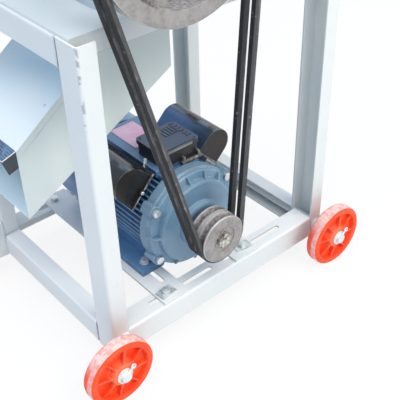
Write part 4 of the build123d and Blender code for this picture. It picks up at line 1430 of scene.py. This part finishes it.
@dataclass
class Motor:
    """The finned motor with its covers, screws and plate."""

    palette: Palette
    rivet_r: float = 1.6 * MM
    rivet_inset: float = 3.2 * MM
    fan_screw_r: float = 4.2 * MM
    fan_screw_back: float = 12.0 * MM
    fan_screw_sink: float = 0.2 * MM
    lid_screw_r: float = 2.9 * MM
    lid_screw_inset: float = 6.5 * MM
    lug_circle: float = 85.0 * MM
    lug_turns: tuple[float, ...] = (-57.0, 57.0, 123.0, -123.0)
    lug_back: float = 25.2 * MM
    lug_across: float = 10.6 * MM
    lug_high: float = 6.4 * MM
    lug_twist: float = 0.3
    lug_washer: tuple[float, float, float] = (6.6 * MM, 4.0 * MM, 1.2 * MM)
    lug_washer_in: float = 0.2 * MM
    key_half: float = 3.8 * MM
    key_proud: float = 1.4 * MM
    key_high: float = 5.4 * MM
    key_long: float = 24.0 * MM
    key_out: float = 0.4 * MM
    key_bevel: float = 1.0 * MM
    tie_top: Point = (164.0 * MM, 116.0 * MM, 267.0 * MM)
    tie_foot: Point = (156.0 * MM, 113.7 * MM, 239.0 * MM)
    tie_half: float = 3.2 * MM
    tie_bow: float = 1.5 * MM
    foot_bolt_inset: float = 8.5 * MM
    cover_screw_up: float = 65.0 * MM
    cover_screw_r: float = 3.3 * MM
    cover_screw_out: float = 0.4 * MM
    cover_screw_base: float = 1.2 * MM
    rim_r: float = 0.75 * MM
    end_depth: float = 0.3 * MM
    ridges: int = 6
    ridge_span: float = 16.0 * MM
    ridge_inset: Point = (8.0 * MM, 6.0 * MM, 1.2 * MM)
    edge_depth: tuple[float, float] = (0.5 * MM, 1.6 * MM)
    edge_drops: tuple[float, float, float] = (5.5 * MM, 2.2 * MM, 1.1 * MM)
    edge_insets: tuple[float, float] = (8.0 * MM, 16.0 * MM)

    def __post_init__(self) -> None:
        """Finds the shaft's line."""
        self.axis = joint_point("motor_spin")

    def dress(self) -> None:
        """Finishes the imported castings, covers, shaft and pulley."""
        palette = self.palette
        palette.dress("motor", "motor_body", "motor_fan_cover")
        palette.dress("bell", "motor_end_cover")
        palette.dress("plastic", "terminal_box")
        palette.dress("plate", "nameplate")
        palette.dress("clip", "cable_clip")
        # Each cover gets a painted sky reflection on the side that leans to the given direction, and a
        # painted sheen highlight on its ridge.
        for node, sky_reflection, towards, sheen in (
            ("capacitor_left", (56, 66, 84), (-0.35, 0.0, 0.94), 0.7),
            ("capacitor_right", (82, 116, 164), (-0.80, 0.0, 0.60), 0.75),
        ):
            gloss = palette.renamed("cover", "gloss_" + node)
            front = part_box(node)[0].y
            palette.overlaid(gloss, "cover_painted_reflection", Sky=sky_reflection, Towards=towards, Sheen=sheen, Front_Y=front)
            palette.dress(gloss, node)
        palette.dress_pulley("motor_pulley", self.axis, 0.8 * MM, 0.7, 16.5 * MM)
        palette.dress_shaft("motor_shaft", self.axis)

    def plate_rivets(self) -> Skin:
        """Four rivets at the nameplate's corners.

        Returns:
            The rivets.
        """
        lo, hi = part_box("nameplate")
        places = corners(lo, hi, self.rivet_inset, self.rivet_inset)
        return joined([dome((*at, hi.z), Along.Z, self.rivet_r) for at in places])

    def box_screws(self) -> Skin:
        """Four screws in the lid's corners, each with a driving slot's rim.

        Returns:
            The screws.
        """
        lo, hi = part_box("terminal_box")
        radius = self.lid_screw_r
        profile = [
            (0.0, -0.6 * MM), (0.45 * radius, -0.6 * MM), (0.5 * radius, 0.9 * MM), (0.8 * radius, 0.9 * MM),
            (radius, 0.4 * MM), (radius, -0.5 * MM), (0.0, -0.5 * MM),
        ]
        places = corners(lo, hi, self.lid_screw_inset, self.lid_screw_inset)
        return joined([turned(profile, (*at, hi.z - 1.5 * MM), Along.Z, 24) for at in places])

    def fan_screws(self) -> Skin:
        """Four screws round the fan cover's front edge.

        Returns:
            The screws.
        """
        lo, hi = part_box("motor_fan_cover")
        seat = (hi.x - lo.x) / 2.0 - self.fan_screw_sink
        head = dome(ORIGIN, Along.Z, self.fan_screw_r)
        skins = []
        for a, centre in round_places(self.axis, seat, lo.y + self.fan_screw_back, QUARTER_TURNS):
            turn = [[math.cos(a), 0.0, -math.sin(a)], [0.0, 1.0, 0.0], [math.sin(a), 0.0, math.cos(a)]]
            skins.append(head.laid(np.array(turn), centre))
        return joined(skins)

    def shaft_key(self) -> Skin:
        """The key in the shaft's end: a rounded bar let into its slot.

        Returns:
            The key.
        """
        lo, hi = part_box("motor_shaft")
        top = self.axis.z + (hi.x - lo.x) / 2.0 + self.key_proud
        low = top - self.key_high
        half, bevel = self.key_half, self.key_bevel
        ring = np.array([
            (-half, low), (-half, top - bevel), (-half + bevel, top), (half - bevel, top),
            (half, top - bevel), (half, low),
        ])
        return prism(ring + (self.axis.x, 0.0), [0, 2], 1, (lo.y - self.key_out, lo.y + self.key_long))

    def box_tie(self) -> Skin:
        """The white strap that stands between the box's left wall and the left cover.

        Its line is straight with half a sine wave across it, and it is wider than thick.

        Returns:
            The strap.
        """
        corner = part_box("leg_front_left")[0]
        share = np.linspace(0.0, 1.0, 24)
        start, end = (np.array((corner.x, corner.y, 0.0)) + at for at in (self.tie_top, self.tie_foot))
        path = start + (end - start) * share[:, None]
        path[:, 1] -= self.tie_bow * np.sin(np.pi * share)
        return swept(path, self.tie_half, BACKWARD, sides=12, squash=0.4)

    def end_rim(self, node: str) -> Skin:
        """The rubbed rim round a cover's front end, run through the outermost points of that end.

        The points are put in order by their angle about the end's middle, and only those are kept that
        stand farthest out for their angle.

        Args:
            node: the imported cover.

        Returns:
            The rim.
        """
        points = packed_points(node)
        end = points[points[:, 1] < points[:, 1].min() + self.end_depth]
        out = end - (end.min(axis=0) + end.max(axis=0)) / 2.0
        angle = np.arctan2(out[:, 2], out[:, 0])
        far = np.hypot(out[:, 0], out[:, 2])
        wanted = np.linspace(-np.pi, np.pi, 97)[:-1]
        near = np.abs((angle[None, :] - wanted[:, None] + np.pi) % (2.0 * np.pi) - np.pi) < 0.12
        best = np.argmax(np.where(near, far[None, :], 0.0), axis=1)
        ring = end[best[np.concatenate([[True], np.diff(best) != 0])]]
        return swept(np.vstack([ring, ring[:1]]), self.rim_r, BACKWARD, sides=8)

    def lug_heads(self) -> Skin:
        """Bright hexagon heads on the end cover's four lugs.

        Returns:
            The heads with their washers.
        """
        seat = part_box("motor_end_cover")[0].y + self.lug_back
        skins = []
        for a, centre in round_places(self.axis, self.lug_circle, seat, self.lug_turns):
            twist = a + self.lug_twist
            skins.append(hex_head(centre, Along.Y, self.lug_across, self.lug_high, twist, -1.0))
            under = (centre[0], seat - self.lug_high + self.lug_washer_in, centre[2])
            skins.append(washer(under, Along.Y, *self.lug_washer))
        return joined(skins)

    def cover_screw(self) -> tuple[Skin, Skin]:
        """The round-headed screw under the left cover's end, and its dark washer.

        Returns:
            The screw's head, and the washer.
        """
        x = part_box("foot_bolts")[0].x + self.foot_bolt_inset
        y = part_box("capacitor_left")[0].y - self.cover_screw_out
        z = self.axis.z + self.cover_screw_up
        disc = np.array([(0.0, -1.4), (5.0, -1.2), (5.4, -0.4), (5.4, 0.8), (0.0, 0.8)]) * MM
        head = dome((x, y - self.cover_screw_base, z), Along.Y, self.cover_screw_r, -1.0)
        return head, turned(disc, (x, y, z), Along.Y, 32)

    def lid_ridges(self) -> Skin:
        """Short rounded ridges in a row along the lid's right edge.

        Returns:
            The ridges.
        """
        lo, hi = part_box("terminal_box")
        profile = np.array([(0.0, -5.0), (1.3, -4.4), (1.7, -3.0), (1.7, 3.0), (1.3, 4.4), (0.0, 5.0)]) * MM
        spacing = (hi.y - lo.y - self.ridge_span) / self.ridges
        x, y, z = (high - inset for high, inset in zip(hi, self.ridge_inset))
        return joined([turned(profile, (x, y - spacing * i, z), Along.X, 16) for i in range(self.ridges)])

    def lid_edge(self) -> Skin:
        """The lid's rubbed front edge: a thin bar with a bevelled top.

        Returns:
            The bar.
        """
        lo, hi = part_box("terminal_box")
        front, back = lo.y - self.edge_depth[0], lo.y + self.edge_depth[1]
        low, middle, top = (hi.z - drop for drop in self.edge_drops)
        ring = np.array([(front, low), (front, middle), (back, top), (back, low)])
        left, right = self.edge_insets
        return prism(ring, [1, 2], 0, (lo.x + left, hi.x - right))

    def build(self) -> None:
        """Dresses the motor and adds its small pieces."""
        self.dress()
        screw, disc = self.cover_screw()
        place = self.palette.place
        place("lug_heads", self.lug_heads(), "zinc")
        place("cover_screw", screw, "zinc")
        place("cover_washer", disc, "dark")
        for node in ("capacitor_left", "capacitor_right"):
            place(node + "_rim", self.end_rim(node), "rim", crease=SEAM_CREASE)
        place("lid_ridges", self.lid_ridges(), "plastic")
        place("lid_front_edge", self.lid_edge(), "lid_edge")
        place("plate_rivets", self.plate_rivets(), "zinc")
        place("lid_screws", self.box_screws(), "plastic")
        place("fan_cover_screws", self.fan_screws(), "zinc")
        place("shaft_key", self.shaft_key(), "machined", body="motor_rotor")
        place("box_tie", self.box_tie(), "tie")


@dataclass
class Drive:
    """Belts and the upper pulley with its shaft."""

    palette: Palette

    def build(self) -> None:
        """Finishes the drive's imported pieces."""
        palette = self.palette
        for node in ("belt_front", "belt_rear"):
            lo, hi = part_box(node)
            rubber = palette.renamed("belt", "rubber_" + node)
            palette.overlaid(rubber, "belt_wear", Middle_Y=(lo.y + hi.y) / 2.0, Half=(hi.y - lo.y) / 2.0)
            palette.dress(rubber, node)
        axis = joint_point("mill_spin")
        palette.dress_pulley("driven_pulley", axis, 1.0 * MM, 0.6, 24.0 * MM)
        palette.dress_shaft("mill_shaft", axis)


@dataclass
class Head:
    """The deck with the bearing housing and the grinding casing."""

    palette: Palette
    bolt_across: float = 10.0 * MM
    bolt_height: float = 4.6 * MM
    cap_circle: float = 34.5 * MM
    casing_inset: float = 5.5 * MM
    casing_flange: float = 9.0 * MM
    casing_turns: tuple[float, ...] = (18.0, 54.0, 90.0, -18.0, -54.0, -90.0)
    base_thick: float = 10.0 * MM
    anchor_down: float = 4.0 * MM
    anchor_inset: tuple[float, float] = (9.0 * MM, 17.0 * MM)
    anchor_turn: float = 0.4
    anchor_turn_rate: float = 9.0
    nipple_up: float = 31.0 * MM

    def __post_init__(self) -> None:
        """Finds the mill shaft's line."""
        self.axis = joint_point("mill_spin")

    def ring_of_heads(self, radius: float, y: float, turns: tuple[float, ...]) -> Skin:
        """Hexagon heads on a circle about the shaft, facing the front.

        Args:
            radius: the circle's radius.
            y: where their seats lie along the shaft.
            turns: their angles from straight up, in degrees.

        Returns:
            The heads.
        """
        return joined([
            hex_head(centre, Along.Y, self.bolt_across, self.bolt_height, a, -1.0)
            for a, centre in round_places(self.axis, radius, y, turns)
        ])

    def anchors(self) -> Skin:
        """The four bolts that hold the bearing housing's base to the deck.

        Returns:
            The bolts.
        """
        lo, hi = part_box("bearing_housing")
        seat = lo.z + self.base_thick
        end = seat - self.anchor_down
        bolt = Fastening(self.palette).bolt
        turn, rate = self.anchor_turn, self.anchor_turn_rate
        places = corners(lo, hi, *self.anchor_inset)
        return joined([bolt(x, y, seat, end, turn + rate * x, False) for x, y in places])

    def build(self) -> None:
        """Dresses the head and bolts it together."""
        self.palette.dress("casting", "mill_casing", "casing_door", "bearing_housing")
        self.palette.dress("sheet", "deck_plate")
        lo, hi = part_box("mill_casing")
        circle = (hi.x - lo.x) / 2.0 - self.casing_inset
        front = self.ring_of_heads(circle, lo.y + self.casing_flange, self.casing_turns)
        self.palette.place("casing_bolts", front, "zinc")
        lo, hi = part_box("bearing_housing")
        caps = self.ring_of_heads(self.cap_circle, lo.y, QUARTER_TURNS)
        self.palette.place("bearing_cap_bolts", caps, "zinc")
        self.palette.place("housing_anchors", self.anchors(), "zinc")
        profile = np.array([
            (0.0, 9.5), (1.6, 9.2), (2.2, 8.0), (1.5, 6.4), (2.0, 5.0), (4.0, 4.4), (4.0, 0.0), (3.0, -2.0),
            (0.0, -2.0),
        ]) * MM
        at = (self.axis.x, (lo.y + hi.y) / 2.0, self.axis.z + self.nipple_up)
        self.palette.place("grease_nipple", turned(profile, at, Along.Z, 24), "zinc")


@dataclass
class FeedAndOutlet:
    """The hopper, its gate and the outlet chute."""

    palette: Palette
    roll: float = 2.2 * MM
    lip_corner: float = 5.0 * MM
    lip_drop: float = 13.0 * MM
    seam_r: float = 1.4 * MM
    seam_inset: float = 12.0 * MM
    seam_above_neck: float = 15.0 * MM
    seam_below_rim: float = 4.0 * MM
    visor_out: float = 24.0 * MM
    visor_slope: float = 0.3
    screen_inset: tuple[float, float] = (0.5 * MM, 2.4 * MM)
    screen_up: float = 0.45 * MM
    weave_high: float = 0.3 * MM
    weave_pitch: tuple[float, float] = (3.0 * MM, 5.0 * MM)
    edge_inset: tuple[float, float] = (0.9 * MM, 1.4 * MM)
    edge_up: float = 0.2 * MM
    edge_r: float = 0.8 * MM
    hem_width: float = 13.0 * MM
    hem_bead: float = 1.2 * MM
    hem_inset: float = 1.0 * MM
    hem_start: tuple[float, float] = (2.0 * MM, 1.4 * MM)
    top_slope: float = 0.714
    run: float = 126.0 * MM
    rivet_at: tuple[float, float] = (34.2 * MM, 162.2 * MM)
    painted_light_above_lip: float = 20.0 * MM
    mouth_before: float = 0.4 * MM

    def __post_init__(self) -> None:
        """Finds the chute's limits, the height of the visor's lip and that of the fold behind it."""
        self.lo, self.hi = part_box("chute")
        points = packed_points("chute")
        self.lip = float(points[points[:, 0] < points[:, 0].min() + 1e-4][:, 2].max())
        self.fold = self.lip + self.visor_out * self.visor_slope

    def hopper_rim(self) -> Skin:
        """A rolled wire edge round the hopper's lip, with rounded corners.

        The path is a square whose corners are quarter circles: at each angle the point is the corner's
        centre plus a radius that turns with the angle.

        Returns:
            The rolled edge.
        """
        lo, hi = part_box("hopper")
        middle, half = (lo + hi) / 2.0, (hi - lo) / 2.0
        angle = np.linspace(0.0, 2.0 * np.pi, 96, endpoint=False)
        x = middle.x + np.sign(np.cos(angle)) * (half.x - self.lip_corner) + self.lip_corner * np.cos(angle)
        y = middle.y + np.sign(np.sin(angle)) * (half.y - self.lip_corner) + self.lip_corner * np.sin(angle)
        path = np.column_stack([x, y, np.full_like(x, hi.z - self.lip_drop)])
        return swept(path, self.roll, UPWARD, sides=12, closed=True)

    def hopper_seams(self) -> Skin:
        """Welded corner seams, from the neck's corners to the rim's.

        Returns:
            Four beads.
        """
        lo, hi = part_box("hopper")
        throat_lo, throat_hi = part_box("hopper_throat")
        middle = (lo + hi) / 2.0
        neck = (throat_hi.x - throat_lo.x) / 2.0 - self.seam_inset
        wide = (hi.x - lo.x) / 2.0 - self.seam_inset
        low, high = lo.z + self.seam_above_neck, hi.z - self.seam_below_rim
        seams = []
        for sx, sy in ((-1.0, -1.0), (-1.0, 1.0), (1.0, -1.0), (1.0, 1.0)):
            start = (middle.x + sx * neck, middle.y + sy * neck, low)
            end = (middle.x + sx * wide, middle.y + sy * wide, high)
            seams.append(weld_bead(start, end, self.seam_r, (sx * 0.7, sy * 0.7, -0.2)))
        return joined(seams)

    def visor_cover(self) -> Skin:
        """The woven screen on the chute's visor.

        Its height above the sloping plate is 0.45 mm plus 0.3 mm sin(2 pi x / 3 mm) cos(2 pi y / 5 mm).

        Returns:
            The screen.
        """
        u, v = np.meshgrid(np.linspace(0.0, 1.0, 64), np.linspace(0.0, 1.0, 300), indexing="ij")
        side, end = self.screen_inset
        x = side + (self.visor_out - 2.0 * side) * u
        y = end + (self.hi.y - self.lo.y - 2.0 * end) * v
        pitch_x, pitch_y = self.weave_pitch
        weave = np.sin(2.0 * np.pi * x / pitch_x) * np.cos(2.0 * np.pi * y / pitch_y)
        z = self.lip + self.visor_slope * x + self.screen_up + self.weave_high * weave
        return woven(np.stack([self.lo.x + x, self.lo.y + y, z], axis=-1))

    def visor_edge(self) -> Skin:
        """The pale folded edge along the visor's two ends and its lip.

        Returns:
            The edge's three runs.
        """
        side, end = self.edge_inset
        inner, outer = self.lo.x + self.visor_out, self.lo.x + side
        near, far = self.lo.y + end, self.hi.y - end
        high, low = self.fold + self.edge_up, self.lip + self.edge_up
        bends = np.array([(inner, near, high), (outer, near, low), (outer, far, low), (inner, far, high)])
        share = np.linspace(0.0, 1.0, 12)[:, None]
        runs = [a + (b - a) * share for a, b in zip(bends, bends[1:])]
        return joined([swept(run, self.edge_r, UPWARD, sides=10) for run in runs])

    def hem_seam(self) -> Skin:
        """Uneven sealing bead under the hems along the top edges of the chute's two sides.

        Returns:
            Two beads.
        """
        x = self.lo.x + self.visor_out
        z = self.fold - self.hem_width
        seams = []
        for y, out in ((self.lo.y + self.hem_inset, -1.0), (self.hi.y - self.hem_inset, 1.0)):
            start = (x + self.hem_start[0], y, z + self.hem_start[1])
            end = (x + self.run, y, z + self.run * self.top_slope)
            seams.append(weld_bead(start, end, self.hem_bead, (0.0, out, -0.4)))
        return joined(seams)

    def top_rivet(self) -> Skin:
        """A flat round rivet in the chute's sloping top, near the front corner post.

        Returns:
            The rivet.
        """
        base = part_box("leg_front_left")[0]
        x, y = base.x + self.rivet_at[0], base.y + self.rivet_at[1]
        z = self.fold + (x - self.lo.x - self.visor_out) * self.top_slope
        profile = np.array([(0.0, 1.1), (1.6, 0.9), (2.6, 0.3), (2.8, -0.6), (0.0, -0.6)]) * MM
        slope = math.atan(self.top_slope)
        cos, sin = math.cos(slope), math.sin(slope)
        tilt = np.array([[cos, 0.0, sin], [0.0, 1.0, 0.0], [-sin, 0.0, cos]])
        return turned(profile, ORIGIN, Along.Z, 24).laid(tilt, (x, y, z))

    def dress(self) -> None:
        """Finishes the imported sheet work; the visor is what lies left of the mouth's plane."""
        palette = self.palette
        palette.dress("sheet", "hopper", "hopper_throat", "slide_gate")
        mouth = self.lo.x + self.visor_out - self.mouth_before
        paint = palette.renamed("chute", "chute_sheet_paint")
        painted_light_from = self.lip + self.painted_light_above_lip
        # The chute gets a painted sky reflection on its top, painted light on its floor, painted shade on its
        # sides, and a visor painted dark as shade.
        palette.overlaid(paint, "chute_tones", Mouth_X=mouth, Cast_From=painted_light_from, Slope=self.top_slope)
        palette.dress(paint, "chute")
        palette.overlaid(palette.made["screen"], "screen_slots")

    def build(self) -> None:
        """Dresses the sheet work and adds its edges."""
        self.dress()
        place = self.palette.place
        place("hopper_rolled_rim", self.hopper_rim(), "sheet", crease=SEAM_CREASE)
        place("hopper_seams", self.hopper_seams(), "sheet", crease=SEAM_CREASE)
        place("visor_screen", self.visor_cover(), "screen", crease=SEAM_CREASE)
        place("visor_edge", self.visor_edge(), "frame", Slot.SHEET, crease=SEAM_CREASE)
        place("hem_seams", self.hem_seam(), "seam", crease=SEAM_CREASE)
        place("chute_rivet", self.top_rivet(), "weld", Slot.SHEET)


@dataclass
class Studio:
    """Camera, lights, floor and background."""

    eye: Point = (-0.3936, -0.6782, 0.9180)
    heading: float = 39.94
    pitch: float = 37.20
    roll: float = -1.627
    lens: float = 68.28
    sensor: float = 36.0
    white_share: float = 0.86
    floor_half: float = 40.0
    aim: Point = (0.0, 0.0, 0.4)
    near_limit: float = 0.02

    def camera(self) -> None:
        """Sets the camera where the photograph was taken, measured from the frame's front left corner.

        The view direction is (sin h cos p, cos h cos p, -sin p) for heading h and pitch p, and the
        picture's right and up directions are turned about it by the roll.
        """
        h, p, r = (math.radians(a) for a in (self.heading, self.pitch, self.roll))
        ahead = Vector((math.sin(h) * math.cos(p), math.cos(h) * math.cos(p), -math.sin(p)))
        level = Vector((math.cos(h), -math.sin(h), 0.0))
        above = level.cross(ahead)
        right = level * math.cos(r) + above * math.sin(r)
        up = above * math.cos(r) - level * math.sin(r)
        data = bpy.data.cameras.new("photo_camera")
        data.sensor_width = self.sensor
        data.lens = self.lens
        data.clip_start = self.near_limit
        camera = in_scene("photo_camera", data)
        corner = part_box("leg_front_left")[0]
        stand = Vector((corner.x, corner.y, 0.0)) + Vector(self.eye)
        camera.matrix_world = Matrix.Translation(stand) @ Matrix((right, up, -ahead)).transposed().to_4x4()
        bpy.context.scene.camera = camera

    def lamp(self, name: str, at: Point, power: float, size: float, colour: Colour) -> None:
        """A square soft light that faces the machine's middle.

        Args:
            name: the light's name.
            at: its place.
            power: its power in watts.
            size: the length of its side.
            colour: its colour in display steps.
        """
        data = bpy.data.lights.new(name, "AREA")
        data.energy = power
        data.size = size
        data.color = linear(colour)[:3]
        turn = (Vector(self.aim) - Vector(at)).to_track_quat("-Z", "Y").to_matrix().to_4x4()
        in_scene(name, data).matrix_world = Matrix.Translation(at) @ turn

    def world(self) -> None:
        """White where the camera or a reflection sees it, and a soft cool light elsewhere."""
        world = bpy.data.worlds.new("studio_world")
        world.use_nodes = True
        bpy.context.scene.world = world
        graph = Graph(world.node_tree)
        graph.tree.nodes.clear()
        white = graph.add("Background", {"Color": (255, 255, 255)})
        soft = graph.add("Background", {"Color": (206, 225, 252), "Strength": 0.62})
        out = graph.tree.nodes.new("ShaderNodeOutputWorld")
        graph.feed(out.inputs["Surface"], graph.add("MixShader", {0: graph.seen(), 1: soft, 2: white}))

    def floor(self) -> None:
        """A wide white floor that keeps the machine's soft shadow."""
        mesh = bpy.data.meshes.new("floor")
        half = self.floor_half
        points = [(-half, -half, 0.0), (half, -half, 0.0), (half, half, 0.0), (-half, half, 0.0)]
        mesh.from_pydata(points, [], [(0, 1, 2, 3)])
        floor = in_scene("floor", mesh)
        material = bpy.data.materials.new("floor_white")
        material.use_nodes = True
        graph = Graph(material.node_tree)
        shader = graph.tree.nodes["Principled BSDF"]
        noise = graph.add("TexNoise", {"Vector": graph.add("TexCoord", out="Object"), "Scale": 1.2}, "Fac")
        tone = graph.blend(noise, (250, 250, 250), (246, 247, 249))
        for key, value in (("Base Color", tone), ("Roughness", 0.9), ("Specular IOR Level", 0.1)):
            graph.feed(shader.inputs[key], value)
        glow = graph.add("Emission", {"Strength": 1.0})
        lit = Value(graph.tree, shader.outputs[0])
        both = graph.add("MixShader", {0: graph.seen() * self.white_share, 1: lit, 2: glow})
        graph.feed(graph.tree.nodes["Material Output"].inputs["Surface"], both)
        mesh.materials.append(material)
        floor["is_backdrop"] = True

    def build(self) -> None:
        """Sets up the whole studio."""
        self.camera()
        self.world()
        self.floor()
        self.lamp("key_light", (0.7, -2.6, 2.9), 86.0, 2.6, (255, 247, 230))
        self.lamp("top_light", (-1.2, -0.4, 4.8), 112.0, 3.4, (250, 252, 255))
        self.lamp("left_fill", (-2.8, -0.4, 0.9), 3.0, 2.0, (200, 222, 255))
        bpy.context.scene.view_settings.view_transform = "Standard"


def main() -> None:
    """Builds the machine's looks in order."""
    logging.basicConfig(level=logging.INFO, format="%(name)s %(message)s")
    Studio().build()
    palette = Palette()
    for part in (WheeledFrame, Straps, Fastening, Motor, Drive, Head, FeedAndOutlet):
        part(palette).build()
    boxes = [[list(corner) for corner in box] for box in (CAD_BOX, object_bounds())]
    for box in boxes:
        json.dumps(box)


if __name__ == "__main__":
    main()
